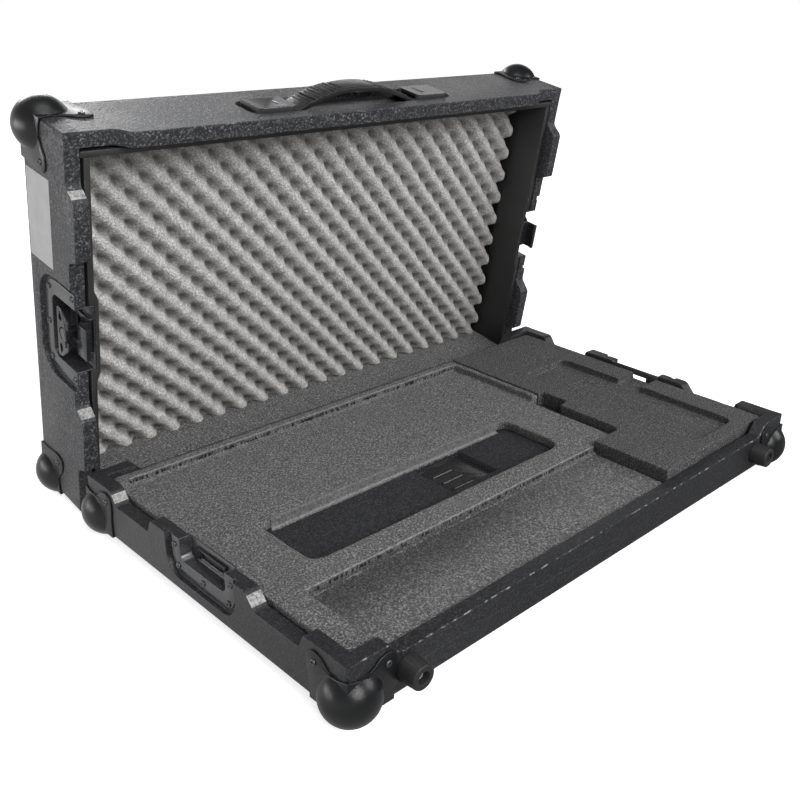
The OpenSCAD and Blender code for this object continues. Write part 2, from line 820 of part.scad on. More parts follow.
module lid_top_wall() {
    color(paint) difference() {
        mirror([0, 1, 0]) end_board(end_rim(lid_h, lid_h + tooth, tooth_corner_back, tooth_play));
        corner_holes();
        on_top() translate([0, 0, -pocket_d]) linear_extrude(pocket_d + 1)
            round_rect(-pocket_half, pocket_front, pocket_half, pocket_front + pocket_w, 12);
        on_top() bolt_places() bolt_hole();
    }
}

module lid_side_wall(right) {
    color(paint) difference() {
        mirror([right, 0, 0]) side_board(side_rim(lid_h, lid_h + tooth, tooth_play));
        corner_holes();
        on_side(lid_h, right) dish_cut(lid_flange, lid_mouth, lid_mouth_h, lid_mouth_r);
        on_side(lid_h, right) lid_dish_places() screw_hole(screw_long);
    }
}

// Side liner with its groove at the rim, the window for the dish and the swelling over it
bulge_t = 4;
module lid_liner_side(right) {
    window = lid_mouth_h + sheet + dish_play;
    bulge_half = lid_mouth + 16;
    color(paint) on_side(lid_h, right) {
        difference() {
            translate([-in_d, panel_t - lid_h, wall_t])
                cube([2 * in_d - liner_t, lid_h - panel_t, liner_t]);
            translate([-in_d - 1, -groove_d, wall_t - 1])
                cube([2 * in_d, groove_d + 1, groove_w + 1]);
            translate([-lid_mouth - sheet - dish_play, -window, wall_t - 1])
                cube([2 * (lid_mouth + sheet + dish_play), window + 1, liner_t + 2]);
        }
        translate([0, 0, wall_t + liner_t]) rotate([90, 0, 0]) linear_extrude(window + 2)
            polygon([[-bulge_half, 0], [bulge_half, 0], [bulge_half - 10, bulge_t],
                [10 - bulge_half, bulge_t]]);
    }
}

module lid_liner_top() {
    color(paint) difference() {
        translate([-in_w, in_d - liner_t, panel_t]) cube([2 * in_w, liner_t, lid_h - panel_t]);
        translate([-in_w - 1, in_d - groove_w, lid_h - groove_d])
            cube([2 * in_w + 2, groove_w + 1, groove_d + 1]);
    }
}

// ---------------------------------------------------------------- lid foam

egg_half = in_w - liner_t - bulge_t - 0.4;
egg_y0 = -in_d + lining_t + 0.3;
egg_y1 = in_d - liner_t - 0.3;

module lid_foam_bottom() {
    w = in_w - liner_t - 0.3;
    color(foam_grey) difference() {
        translate([-w, -in_d, panel_t]) cube([2 * w, lining_t, lid_h - panel_t - 1]);
        for (s = [0, 1]) mirror([s, 0, 0]) translate([w - 1, -in_d - 1, 0]) cube([2, 1, 1]);
    }
}

// Bumps and hollows in turn, one point for each, over a flat back
module lid_foam_egg() {
    dx = 2 * egg_half / egg_nx;
    dy = (egg_y1 - egg_y0) / egg_ny;
    nx = egg_nx + 1;
    ny = egg_ny + 1;
    top = [for (j = [0 : egg_ny], i = [0 : egg_nx])
        [i * dx - egg_half, egg_y0 + j * dy, panel_t + egg_low + ((i + j) % 2) * egg_bump]];
    ring = concat([for (i = [0 : egg_nx - 1]) i], [for (j = [0 : egg_ny - 1]) j * nx + egg_nx],
        [for (i = [egg_nx : -1 : 1]) egg_ny * nx + i], [for (j = [egg_ny : -1 : 1]) j * nx]);
    m = len(ring);
    n = nx * ny;
    back = concat([for (k = ring) [top[k][0], top[k][1], panel_t]], [[0, 0, panel_t]]);
    underside = [for (k = [0 : m - 1]) [n + m, n + k, n + (k + 1) % m]];
    cells = [for (j = [0 : egg_ny - 1], i = [0 : egg_nx - 1])
        let (a = j * nx + i, b = a + 1, c = a + nx + 1, d = a + nx)
        each [[a, d, b], [b, d, c]]];
    sides = [for (k = [0 : m - 1]) let (l = (k + 1) % m)
        each [[ring[k], ring[l], n + l], [ring[k], n + l, n + k]]];
    color(egg_grey) polyhedron(points = concat(top, back),
        faces = concat(cells, sides, underside));
}

// ---------------------------------------------------------------- handle

// Top wall's outer face: X to the right, Y from the low rim to the panel, Z outwards
module on_top() {
    translate([0, half_d, lid_h]) rotate([-90, 0, 0]) children();
}

cap_mid = pocket_front + pocket_w / 2;
bolt_r = 2;
bolt_head = 4;
bolt_head_h = 3;
bolt_up = 6.5;

module bolt_places() {
    for (s = [-1, 1], x = [cap_l * 0.5, cap_l * 0.84])
        translate([s * (cap_in + x), cap_mid, -wall_t]) children();
}

module bolt_hole() {
    translate([0, 0, -1]) cylinder(r = bolt_head + 0.3, h = bolt_head_h + 1);
    cylinder(r = bolt_r + run_fit, h = wall_t - pocket_d + bolt_up + 0.3);
}

module handle_bolts() {
    color("#8c8c8c") on_top() bolt_places() {
        cylinder(r = bolt_head, h = bolt_head_h);
        cylinder(r = bolt_r, h = wall_t - pocket_d + bolt_up);
    }
}

// End cap: a moulded block with the slot in which the strip's end slides
module handle_cap(right) {
    slot_l = 14;
    slot_h = strip_t + lift + 0.8;
    top = pocket_d + cap_out;
    color(rubber_black) on_top() mirror([right, 0, 0]) difference() {
        translate([0, 0, -pocket_d]) linear_extrude(top)
            round_rect(-cap_in - cap_l, cap_mid - cap_w / 2, -cap_in, cap_mid + cap_w / 2, 5);
        translate([-cap_in - cap_l - 1, 0, cap_out]) rotate([0, 45, 0])
            translate([-2.5, -1, -2.5]) cube([5, pocket_w + 10, 5]);
        translate([-cap_in - slot_l, cap_mid - grip_w / 2 + 3, -pocket_d - 1])
            cube([slot_l + 1, grip_w - 6, slot_h + 1.4]);
        translate([-cap_in - 17, cap_mid - 9, cap_out - 0.6]) cube([5, 18, 2]);
        bolt_places() bolt_hole();
    }
}

lift = 4;
grip_drop = grip_high + pocket_d - arch_end;
grip_r = (pow(grip_half, 2) + pow(grip_drop, 2)) / (2 * grip_drop);
grip_c = grip_high - grip_r;

// Arched band between two depths under the crest, along the whole grip
module grip_arch(d0, d1, half) {
    r0 = grip_r - d0;
    r1 = grip_r - d1;
    polygon(concat(arc([0, grip_c], r0, 90 - asin(half / r0), 90 + asin(half / r0), 24),
        arc([0, grip_c], r1, 90 + asin(half / r1), 90 - asin(half / r1), 24)));
}

// Moulded grip: arch with ribs, smooth pad, end blocks and the strip's channel
module handle_grip() {
    foot_z0 = 0.4 - pocket_d;
    ends = cap_in - 0.5;
    strip_z = foot_z0 + 0.6;
    color(rubber_black) on_top() translate([0, cap_mid, 0]) difference() {
        union() {
            translate([0, grip_w / 2, 0]) rotate([90, 0, 0]) linear_extrude(grip_w)
                grip_arch(0, grip_t, grip_half);
            for (s = [0, 1]) mirror([s, 0, 0]) translate([grip_half - 3, -grip_w / 2, foot_z0])
                cube([ends - grip_half + 3, grip_w, 4.6]);
            for (s = [-1, 1], i = [0 : grip_ribs - 1])
                translate([0, 0, grip_c]) rotate([0, s * (9.2 + 15 * i / grip_ribs), 0])
                    translate([-1, -grip_w / 2, grip_r - 1]) cube([2, grip_w, 1 + rib_h]);
            translate([0, grip_w / 2 - 3, 0]) rotate([90, 0, 0]) linear_extrude(grip_w - 6)
                grip_arch(-rib_h - 0.2, 1, 23);
        }
        strip_profile(0.15, ends + 1);
        translate([-ends, -grip_w, foot_z0 - grip_t]) cube([2 * ends, 2 * grip_w, grip_t]);
    }
}

// Profile of the steel strip, widened by a play, to a half length
module strip_profile(play, half) {
    d = grip_t / 2;
    z = 1.2 - pocket_d;
    w = grip_w - 8;
    translate([0, w / 2 + play, 0]) rotate([90, 0, 0]) linear_extrude(w + 2 * play) {
        grip_arch(d - strip_t / 2 - play, d + strip_t / 2 + play, grip_half - 0.5);
        for (s = [0, 1]) mirror([s, 0, 0])
            translate([grip_half - 2.5, z - play]) square([half - grip_half + 2.5, strip_t + 2 * play]);
    }
}

module handle_strip() {
    color("#8c8c8c") on_top() translate([0, cap_mid, 0]) strip_profile(0, cap_in + 10);
}

// ---------------------------------------------------------------- nodes

on_floor() base_floor();
on_floor() base_front_wall();
on_floor() base_back_wall();
on_floor() base_side_wall(0);  // base_left_wall
on_floor() base_side_wall(1);  // base_right_wall
for (c = CORNERS)
    on_floor() at_corner(c[1], c[2]) ball_corner();
on_floor() corner_screws();  // base_corner_screws
on_floor() base_dish(0);  // base_dish_left
on_floor() base_dish(1);  // base_dish_right
on_floor() keeper(0);  // keeper_left
on_floor() keeper(1);  // keeper_right
on_floor() dish_screws(base_h, false);  // base_dish_screws
on_floor() rubber_foot(-1);  // rubber_foot_left
on_floor() rubber_foot(1);  // rubber_foot_right
on_floor() foot_washers();
on_floor() foot_screws();
on_floor() foam_floor();
on_floor() foam_main();
on_floor() foam_side();
on_floor() ribbed_pad();
stood_up() lid_panel();
stood_up() lid_bottom_wall();
stood_up() lid_top_wall();
stood_up() lid_side_wall(0);  // lid_left_wall
stood_up() lid_side_wall(1);  // lid_right_wall
stood_up() lid_liner_side(0);  // lid_liner_left
stood_up() lid_liner_side(1);  // lid_liner_right
stood_up() lid_liner_top();
for (c = CORNERS)
    stood_up() at_corner(c[1], c[2]) ball_corner();
stood_up() corner_screws();  // lid_corner_screws
stood_up() lid_dish(0);  // lid_dish_left
stood_up() lid_dish(1);  // lid_dish_right
stood_up() dish_screws(lid_h, true);  // lid_dish_screws
stood_up() lid_foam_egg();
stood_up() lid_foam_bottom();
stood_up() handle_cap(0);  // handle_cap_left
stood_up() handle_cap(1);  // handle_cap_right
stood_up() handle_bolts();
stood_up() latch_cam(0);  // latch_cam_left
stood_up() latch_cam(1);  // latch_cam_right
stood_up() latch_wing(0);  // latch_wing_left
stood_up() latch_wing(1);  // latch_wing_right
stood_up() latch_hook(0);  // latch_hook_left
stood_up() latch_hook(1);  // latch_hook_right
stood_up() handle_grip();
stood_up() handle_strip();
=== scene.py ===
"""Looks of an open guitar pedal case: a flat base with cut foam and a deep lift-off lid.

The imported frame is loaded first.  Every piece is modelled in the frame's own place, in metres.
"""

import json
import math

import bmesh
import bpy
from bpy.props import FloatProperty, FloatVectorProperty, IntProperty, PointerProperty
from mathutils import Matrix, Vector, noise


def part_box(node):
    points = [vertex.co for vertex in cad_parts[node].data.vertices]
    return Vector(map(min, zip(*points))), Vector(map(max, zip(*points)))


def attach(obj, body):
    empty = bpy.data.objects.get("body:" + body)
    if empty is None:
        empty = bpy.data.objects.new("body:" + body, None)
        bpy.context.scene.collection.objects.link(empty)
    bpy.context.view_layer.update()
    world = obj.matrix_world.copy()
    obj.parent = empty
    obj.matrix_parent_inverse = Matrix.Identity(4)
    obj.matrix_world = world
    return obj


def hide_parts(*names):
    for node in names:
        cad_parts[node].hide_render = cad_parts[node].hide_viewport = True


bl_info = {
    "name": "Guitar pedal case",
    "version": (1, 0, 0),
    "blender": (4, 5, 0),
    "location": "3D View > Sidebar > Pedal case",
    "description": "Finishes the boards, hardware and foam of an open pedal case",
    "category": "Object",
}

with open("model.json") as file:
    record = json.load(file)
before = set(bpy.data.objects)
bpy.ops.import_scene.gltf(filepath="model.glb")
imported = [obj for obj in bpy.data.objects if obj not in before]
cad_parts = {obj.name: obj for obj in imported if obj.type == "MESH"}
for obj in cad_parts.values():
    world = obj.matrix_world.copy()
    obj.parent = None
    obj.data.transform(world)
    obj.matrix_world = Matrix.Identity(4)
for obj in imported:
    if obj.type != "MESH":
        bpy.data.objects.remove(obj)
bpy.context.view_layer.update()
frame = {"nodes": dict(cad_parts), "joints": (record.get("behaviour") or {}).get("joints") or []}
JOINTS = {joint["name"]: joint for joint in frame["joints"]}
SIDES = ("left", "right")
CORNERS = ("front_left", "front_right", "back_left", "back_right")
MM = 0.001

# Without a seed of its own, the noise that bends the foam would differ from run to run
noise.seed_set(7)


# ---------------------------------------------------------------- places of the two halves


def base_place():
    """The base's own frame: its middle, on the underside of its floor board."""
    low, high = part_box("base_floor")
    return Matrix.Translation(((low.x + high.x) / 2, (low.y + high.y) / 2, low.z))


# The latch hubs lie this far in from the lid's rim, and halfway up the lid
HUB_DEPTH = 22 * MM
HALF_LID = 205 * MM


def lid_place():
    """The lid's own frame: x to the right, y from its low rim inwards, z up from its lower edge."""
    up = Vector(JOINTS["grip_lift"]["axis"])
    inward = Vector(JOINTS["hook_slide_left"]["axis"])
    hubs = [Vector(JOINTS["latch_turn_" + side]["pos_m"]) for side in SIDES]
    origin = (hubs[0] + hubs[1]) / 2 - inward * HUB_DEPTH - up * HALF_LID
    turn = Matrix((up.cross(-inward), inward, up)).transposed().to_4x4()
    return Matrix.Translation(origin) @ turn


BASE = base_place()
LID = lid_place()


def extent(points):
    """Lowest and highest corners of some points."""
    low = Vector([min(p[i] for p in points) for i in range(3)])
    high = Vector([max(p[i] for p in points) for i in range(3)])
    return low, high


def local_box(node, place):
    """Lowest and highest corners of a node in the frame of its half."""
    back = place.inverted()
    return extent([back @ v.co for v in frame["nodes"][node].data.vertices])


# ---------------------------------------------------------------- values that a user would change

LENGTH = {"unit": "LENGTH", "subtype": "DISTANCE"}


class PaintValues(bpy.types.PropertyGroup):
    """Hard textured paint of the boards"""

    colour: FloatVectorProperty(
        name="Paint", description="Paint in its hollows", subtype="COLOR", default=(0.0085, 0.0088, 0.0102)
    )
    light: FloatVectorProperty(
        name="Paint, high spots", description="Paint on its grain", subtype="COLOR",
        default=(0.02, 0.0206, 0.0238),
    )
    worn: FloatVectorProperty(
        name="Worn edge", description="Scuffed paint on the edges", subtype="COLOR",
        default=(0.36, 0.36, 0.355),
    )
    edge: FloatProperty(
        name="Edge", description="Softening of the boards' edges",
        default=0.0009, **LENGTH,
    )
    grain: FloatProperty(name="Grain", description="Bumps of the paint in a metre", default=420.0)


class FoamValues(bpy.types.PropertyGroup):
    """Foam of the base and the lid"""

    colour: FloatVectorProperty(
        name="Base foam", description="Cut foam of the base", subtype="COLOR", default=(0.152, 0.1495, 0.15)
    )
    floor: FloatVectorProperty(
        name="Floor foam", description="Foam at the slot's bottom", subtype="COLOR",
        default=(0.028, 0.0285, 0.031),
    )
    egg: FloatVectorProperty(
        name="Egg-crate foam", description="Foam of the lid", subtype="COLOR", default=(0.53, 0.518, 0.503)
    )
    cells: FloatProperty(name="Cells", description="Foam cells in a metre", default=520.0)
    voxel: FloatProperty(
        name="Mesh cell", description="Size of the mesh cells of cut foam", default=0.0022,
        **LENGTH,
    )
    wander: FloatProperty(
        name="Wander", description="How far a cut strays", default=0.0005, **LENGTH
    )


class EggValues(bpy.types.PropertyGroup):
    """Egg-crate form of the lid's foam"""

    pitch: FloatProperty(
        name="Pitch", description="From hollow to hollow in a row",
        default=0.0312, **LENGTH,
    )
    row: FloatProperty(
        name="Row", description="From one row to the next", default=0.016, **LENGTH
    )
    first: FloatProperty(
        name="First row", description="Height of a row with a hollow at the middle", default=0.323,
        **LENGTH,
    )
    first_x: FloatProperty(
        name="First hollow", description="Place of that hollow",
        default=0.0015, **LENGTH,
    )
    ridge: FloatProperty(
        name="Ridge share", description="How far the ridges lead", default=0.8, min=0.5, max=1.0
    )
    round: FloatProperty(
        name="Roundness", description="Above 1 the ridges are broader than the hollows", default=1.9
    )
    steps: IntProperty(name="Steps", description="Mesh cells in a pitch", default=14, min=6, max=24)


class MetalValues(bpy.types.PropertyGroup):
    """Hardware"""

    steel: FloatVectorProperty(
        name="Black steel", description="Coating of corners and dishes", subtype="COLOR",
        default=(0.006, 0.0063, 0.007),
    )
    latch: FloatVectorProperty(
        name="Latch", description="Coating of the turning latch", subtype="COLOR",
        default=(0.018, 0.0186, 0.021),
    )
    bright: FloatVectorProperty(
        name="Bright steel", description="Washers and the strip", subtype="COLOR", default=(0.5, 0.5, 0.5)
    )
    rubber: FloatVectorProperty(
        name="Rubber", description="Feet and handle", subtype="COLOR", default=(0.0095, 0.0097, 0.0104)
    )
    edge: FloatProperty(
        name="Edge", description="Softening of metal edges", default=0.0004, **LENGTH
    )


class StageValues(bpy.types.PropertyGroup):
    """Camera, lamps and floor"""

    azimuth: FloatProperty(name="Azimuth", description="Turn of the camera", default=-46.58)
    elevation: FloatProperty(name="Elevation", description="Height angle of the camera", default=23.26)
    roll: FloatProperty(name="Roll", description="Tilt of the camera about its view", default=2.13)
    place: FloatVectorProperty(
        name="Place", description="The camera", subtype="TRANSLATION", default=(-0.71429, -0.7151, 0.5491)
    )
    focal: FloatProperty(name="Focal length", description="In pixels of the image", default=976.78)
    centre: FloatVectorProperty(
        name="Centre", description="Principal point in pixels", size=2, default=(459.67, 386.41)
    )
    image: FloatProperty(name="Image", description="Width of the image in pixels", default=800.0)
    key: FloatProperty(name="Key lamp", description="Power of the lamp in front, at the right", default=30.0)
    front: FloatProperty(
        name="Front lamp", description="Power of the lamp in front, at the left", default=43.0
    )
    top: FloatProperty(name="Top lamp", description="Power of the lamp above", default=5.3)
    side: FloatProperty(name="Side lamp", description="Power of the low lamp at the left", default=13.5)
    back: FloatProperty(name="Back lamp", description="Power of the lamp behind, at the right", default=6.5)
    rear: FloatProperty(name="Rear lamp", description="Power of the lamp straight behind", default=31.0)
    world: FloatProperty(name="World", description="Strength of the soft light around", default=0.1)


# ---------------------------------------------------------------- node trees


def feed(tree, node, inputs):
    """Links or sets inputs of a node."""
    for key, value in inputs.items():
        if isinstance(value, bpy.types.NodeSocket):
            tree.links.new(value, node.inputs[key])
        else:
            node.inputs[key].default_value = value


def add(tree, kind, inputs=None, **settings):
    """A shader node with its settings, and its inputs linked or set."""
    node = tree.nodes.new("ShaderNode" + kind)
    for key, value in settings.items():
        setattr(node, key, value)
    feed(tree, node, inputs or {})
    return node


def calc(tree, operation, a, b):
    """Math of two values."""
    return add(tree, "Math", {0: a, 1: b}, operation=operation).outputs[0]


def ramp(tree, value, low, high, to_low=0.0, to_high=1.0):
    """Value mapped from low..high to another range, and clamped."""
    node = add(tree, "MapRange", {"Value": value, "From Min": low, "From Max": high}, clamp=True)
    node.inputs["To Min"].default_value = to_low
    node.inputs["To Max"].default_value = to_high
    return node.outputs["Result"]


def blend(tree, factor, a, b):
    """Mix of two colours."""
    a, b = [c if isinstance(c, bpy.types.NodeSocket) else rgba(c) for c in (a, b)]
    return add(tree, "Mix", {0: factor, 6: a, 7: b}, data_type="RGBA").outputs[2]


def choose(tree, factor, a, b):
    """Mix of two values."""
    return add(tree, "Mix", {0: factor, 2: a, 3: b}, data_type="FLOAT").outputs[0]


def mark(tree, name):
    """Value that the mesh carries under a name."""
    return add(tree, "Attribute", attribute_name=name).outputs["Fac"]


def rgba(colour):
    return (*tuple(colour)[:3], 1.0)


def grey(level):
    return (level, level, level)


def times(colour, share):
    """A darker or lighter colour, no lighter than white."""
    return [min(1.0, c * share) for c in colour]


def fine_noise(tree, scale, detail=2.0, rough=0.5, where=None):
    """Noise on the piece's own coordinates."""
    vector = where or add(tree, "TexCoord").outputs["Object"]
    inputs = {"Vector": vector, "Scale": scale, "Detail": detail, "Roughness": rough}
    return add(tree, "TexNoise", inputs).outputs[0]


def group(name, inputs, outputs, build):
    """A shader node group with named sockets, made once."""
    tree = bpy.data.node_groups.get(name)
    if tree:
        return tree
    tree = bpy.data.node_groups.new(name, "ShaderNodeTree")
    for socket, value in inputs.items():
        made = tree.interface.new_socket(name=socket, in_out="INPUT", socket_type="NodeSocketFloat")
        made.default_value = value
    for socket in outputs:
        tree.interface.new_socket(name=socket, in_out="OUTPUT", socket_type="NodeSocketFloat")
    source = tree.nodes.new("NodeGroupInput")
    sink = tree.nodes.new("NodeGroupOutput")
    for socket, result in build(tree, source.outputs).items():
        tree.links.new(result, sink.inputs[socket])
    return tree


def use(tree, made, **values):
    """The group's node in a material, with its values."""
    node = add(tree, "Group", node_tree=made)
    feed(tree, node, values)
    return node.outputs


def build_grain(tree, given):
    """Grain of hard paint: height, patches, and specks where glints are painted in."""
    fine = fine_noise(tree, given["Scale"], 3.0, 0.6)
    broad = fine_noise(tree, calc(tree, "MULTIPLY", given["Scale"], 0.33), 2.0)
    patch = fine_noise(tree, calc(tree, "MULTIPLY", given["Scale"], 0.03), 3.0)
    # Specks where painted glints go: highlights put into the colour
    dots = fine_noise(tree, calc(tree, "MULTIPLY", given["Scale"], 1.6), 1.0)
    blobs = ramp(tree, fine, 0.5, 0.7)
    height = calc(tree, "ADD", calc(tree, "MULTIPLY", blobs, 0.75), calc(tree, "MULTIPLY", broad, 0.4))
    return {"Height": height, "Patch": ramp(tree, patch, 0.35, 0.65), "Glint": ramp(tree, dots, 0.57, 0.71)}


def build_wear(tree, given):
    """Scuffs on the edges: the piece's wear attribute, broken up by noise."""
    wear = mark(tree, "wear")
    rough = fine_noise(tree, given["Scale"], 4.0, 0.65)
    level = calc(tree, "ADD", given["Amount"], calc(tree, "MULTIPLY", wear, 0.2))
    broken = ramp(tree, calc(tree, "ADD", rough, calc(tree, "SUBTRACT", level, 0.65)), 0.42, 0.62)
    return {"Mask": calc(tree, "MULTIPLY", ramp(tree, wear, 0.0, 0.2), broken)}


def build_cells(tree, given):
    """Open foam cells: height, pores and flecks."""
    where = add(tree, "TexCoord").outputs["Object"]
    cells = add(tree, "TexVoronoi", {"Vector": where, "Scale": given["Scale"]}, feature="F1")
    pores = ramp(tree, cells.outputs["Distance"], 0.2, 0.8)
    fine = fine_noise(tree, given["Scale"], 4.0, 0.75, where)
    patch = fine_noise(tree, calc(tree, "MULTIPLY", given["Scale"], 0.03), 3.0, 0.5, where)
    height = calc(tree, "ADD", calc(tree, "MULTIPLY", pores, 0.5), calc(tree, "MULTIPLY", fine, 0.8))
    return {
        "Height": height,
        "Pores": ramp(tree, fine, 0.4, 0.56),
        "Flecks": ramp(tree, fine, 0.54, 0.66),
        "Patch": ramp(tree, patch, 0.3, 0.7),
    }


def grain_group():
    return group("Paint grain", {"Scale": 400.0}, ("Height", "Patch", "Glint"), build_grain)


def wear_group():
    return group("Edge wear", {"Amount": 0.5, "Scale": 90.0}, ("Mask",), build_wear)


def cells_group():
    return group("Foam cells", {"Scale": 700.0}, ("Height", "Pores", "Flecks", "Patch"), build_cells)


def material(name, build):
    """A material whose build function sets the shader's inputs."""
    made = bpy.data.materials.get(name)
    if made:
        return made
    made = bpy.data.materials.new(name)
    made.use_nodes = True
    tree = made.node_tree
    feed(tree, tree.nodes["Principled BSDF"], build(tree))
    return made


def bump(tree, height, strength, distance):
    inputs = {"Height": height, "Strength": strength, "Distance": distance}
    return add(tree, "Bump", inputs).outputs["Normal"]


def case_paint(name="case paint", relief=0.35, painted_glint=0.15, grain_share=1.0, tone=1.0):
    """Textured charcoal paint with scuffed edges and slopes, and painted glints on its grain."""
    values = bpy.context.scene.pedal_paint

    def build(tree):
        grain = use(tree, grain_group(), Scale=values.grain * grain_share)
        wear = use(tree, wear_group(), Amount=0.36, Scale=140.0)["Mask"]
        slope = mark(tree, "slope")
        blotch = fine_noise(tree, 330.0, 4.0, 0.7)
        scuff = calc(tree, "MULTIPLY", slope, ramp(tree, blotch, 0.28, 0.4))
        bare = blend(tree, ramp(tree, blotch, 0.4, 0.6), times(values.worn, 0.45), values.worn)
        # tone scales both paint colours; a tone above 1 paints the same paint lighter, as painted light
        low = times(values.colour, tone)
        high = times(values.light, tone)
        colour = blend(tree, ramp(tree, grain["Height"], 0.2, 0.6), low, high)
        # Painted glint: lighter grey specks that stand for highlights on the paint's grain
        colour = blend(tree, calc(tree, "MULTIPLY", grain["Glint"], painted_glint), colour, grey(0.3))
        colour = blend(tree, wear, colour, values.worn)
        colour = blend(tree, scuff, colour, bare)
        return {
            "Base Color": colour,
            "Roughness": ramp(tree, grain["Patch"], 0.0, 1.0, 0.4, 0.5),
            "Specular IOR Level": 0.42,
            "Normal": bump(tree, grain["Height"], relief, 0.8 * MM),
        }

    return material(name, build)


def liner_paint():
    """Smoother black paint of the lid's liners."""
    def build(tree):
        grain = use(tree, grain_group(), Scale=500.0)
        wear = use(tree, wear_group(), Amount=0.3, Scale=120.0)["Mask"]
        colour = blend(tree, grain["Patch"], grey(0.012), grey(0.02))
        colour = blend(tree, wear, colour, grey(0.2))
        return {
            "Base Color": colour,
            "Roughness": ramp(tree, grain["Patch"], 0.0, 1.0, 0.5, 0.65),
            "Normal": bump(tree, grain["Height"], 0.4, 0.6 * MM),
        }

    return material("liner paint", build)


def foam(name, colour, pore=0.3, fleck=2.4, scale=1.0, depth=1.6 * MM, shade=0.0):
    """Cut open-cell foam: darker pores, lighter flecks, broad patches, and painted shade where the mesh's
    hollow layer is above a half.
    """
    values = bpy.context.scene.pedal_foam

    def build(tree):
        cells = use(tree, cells_group(), Scale=values.cells * scale)
        tone = blend(tree, cells["Pores"], times(colour, pore), colour)
        tone = blend(tree, cells["Flecks"], tone, times(colour, fleck))
        tone = blend(tree, calc(tree, "MULTIPLY", cells["Patch"], 0.3), tone, times(colour, 0.75))
        if shade:
            # Painted shade: the hollow layer darkens the foam toward an eighth of its colour, for shade in
            # hollows, on left-facing walls, under steps and under the lid's top liner
            painted_shade = ramp(tree, mark(tree, "hollow"), 0.5, 1.0, 0.0, shade)
            tone = blend(tree, painted_shade, tone, times(colour, 0.12))
        return {
            "Base Color": tone,
            "Roughness": ramp(tree, cells["Flecks"], 0.0, 1.0, 0.97, 0.8),
            "Specular IOR Level": 0.2,
            "Normal": bump(tree, cells["Height"], 0.8, depth),
        }

    return material(name, build)


def torn_foam():
    """Torn face of a foam step: painted shade as dark dashes in its tears, and painted highlights along its
    lips.
    """
    values = bpy.context.scene.pedal_foam

    def build(tree):
        cells = use(tree, cells_group(), Scale=values.cells * 0.8)
        lip = mark(tree, "lip")
        tear = mark(tree, "tear")
        where = add(tree, "TexCoord").outputs["Object"]
        thin = add(tree, "VectorMath", {0: where, 1: (1.0, 0.3, 0.3)}, operation="MULTIPLY").outputs["Vector"]
        dashes = ramp(tree, fine_noise(tree, 380.0, 2.0, 0.6, thin), 0.46, 0.54)
        plain = blend(tree, cells["Pores"], times(values.colour, 0.45), values.colour)
        light = blend(tree, cells["Flecks"], grey(0.25), grey(0.42))
        # Painted shade: near-black dashes in the tears
        tone = blend(tree, calc(tree, "MULTIPLY", tear, dashes), plain, grey(0.012))
        return {
            # Painted highlight along the step's lips
            "Base Color": blend(tree, lip, tone, light),
            "Roughness": ramp(tree, cells["Pores"], 0.0, 1.0, 0.98, 0.9),
            "Specular IOR Level": 0.2,
            "Normal": bump(tree, cells["Height"], 0.9, 1.5 * MM),
        }

    return material("torn foam", build)


def coated(name, colour, rough=0.35, metallic=0.0, worn=0.35, grain=0.25, level=0.5):
    """Coated metal or moulded plastic with fine grain and worn edges."""
    def build(tree):
        texture = use(tree, grain_group(), Scale=900.0)
        wear = use(tree, wear_group(), Amount=worn, Scale=220.0)["Mask"]
        shade = blend(tree, texture["Patch"], colour, times(colour, 1.25))
        shade = blend(tree, wear, shade, [min(1.0, c * 5 + 0.04) for c in colour])
        return {
            "Base Color": shade,
            "Roughness": ramp(tree, texture["Height"], 0.3, 0.7, rough - 0.07, rough + 0.08),
            "Metallic": metallic,
            "Specular IOR Level": level,
            "Normal": bump(tree, texture["Height"], grain, 0.3 * MM),
        }

    return material(name, build)


def blank_label():
    """Blank paper label with faint blotches."""
    def build(tree):
        tone = fine_noise(tree, 60.0, 4.0, 0.6)
        fibre = fine_noise(tree, 1500.0, 2.0)
        return {
            "Base Color": blend(tree, ramp(tree, tone, 0.3, 0.75), grey(0.37), (0.44, 0.44, 0.455)),
            "Roughness": ramp(tree, fibre, 0.3, 0.7, 0.45, 0.6),
            "Normal": bump(tree, fibre, 0.15, 0.2 * MM),
        }

    return material("blank label", build)


def black_steel():
    colour = bpy.context.scene.pedal_metal.steel
    return coated("black steel", colour, rough=0.36, worn=0.12, grain=0.12, level=0.33)


def dish_steel():
    colour = bpy.context.scene.pedal_metal.latch
    return coated("dish steel", colour, rough=0.33, worn=0.2, grain=0.12, level=0.75)


def latch_steel():
    colour = bpy.context.scene.pedal_metal.latch
    return coated("latch steel", colour, rough=0.3, metallic=0.3, worn=0.3, grain=0.15, level=0.4)


def socket_steel():
    # Painted reflection: the washers and foot screws are a plain light grey with no metal, so that a light
    # ring shows in their deep recesses
    return coated("socket steel", (0.26, 0.26, 0.265), rough=0.38, worn=0.3, grain=0.15)


def screw_steel():
    return coated("screw steel", (0.07, 0.072, 0.077), rough=0.25, metallic=0.6, worn=0.6, grain=0.15)


def bright_steel():
    colour = bpy.context.scene.pedal_metal.bright
    return coated("bright steel", colour, rough=0.32, metallic=0.9, worn=0.2, grain=0.2)


def rubber():
    return coated("foot rubber", bpy.context.scene.pedal_metal.rubber, rough=0.62, worn=0.1, grain=0.5)


def grip_plastic():
    return coated("grip plastic", bpy.context.scene.pedal_metal.rubber, rough=0.42, worn=0.3, grain=0.35)


def cap_plastic():
    # Painted highlight: the caps take the grip's colour 2.5 times lighter, for the bright back they reflect
    colour = times(bpy.context.scene.pedal_metal.rubber, 2.5)
    return coated("cap plastic", colour, rough=0.4, worn=0.4, grain=0.3, level=0.8)


def pad_plastic():
    return coated("pad plastic", (0.011, 0.011, 0.012), rough=0.34, worn=0.1, grain=0.15)


# ---------------------------------------------------------------- mesh helpers


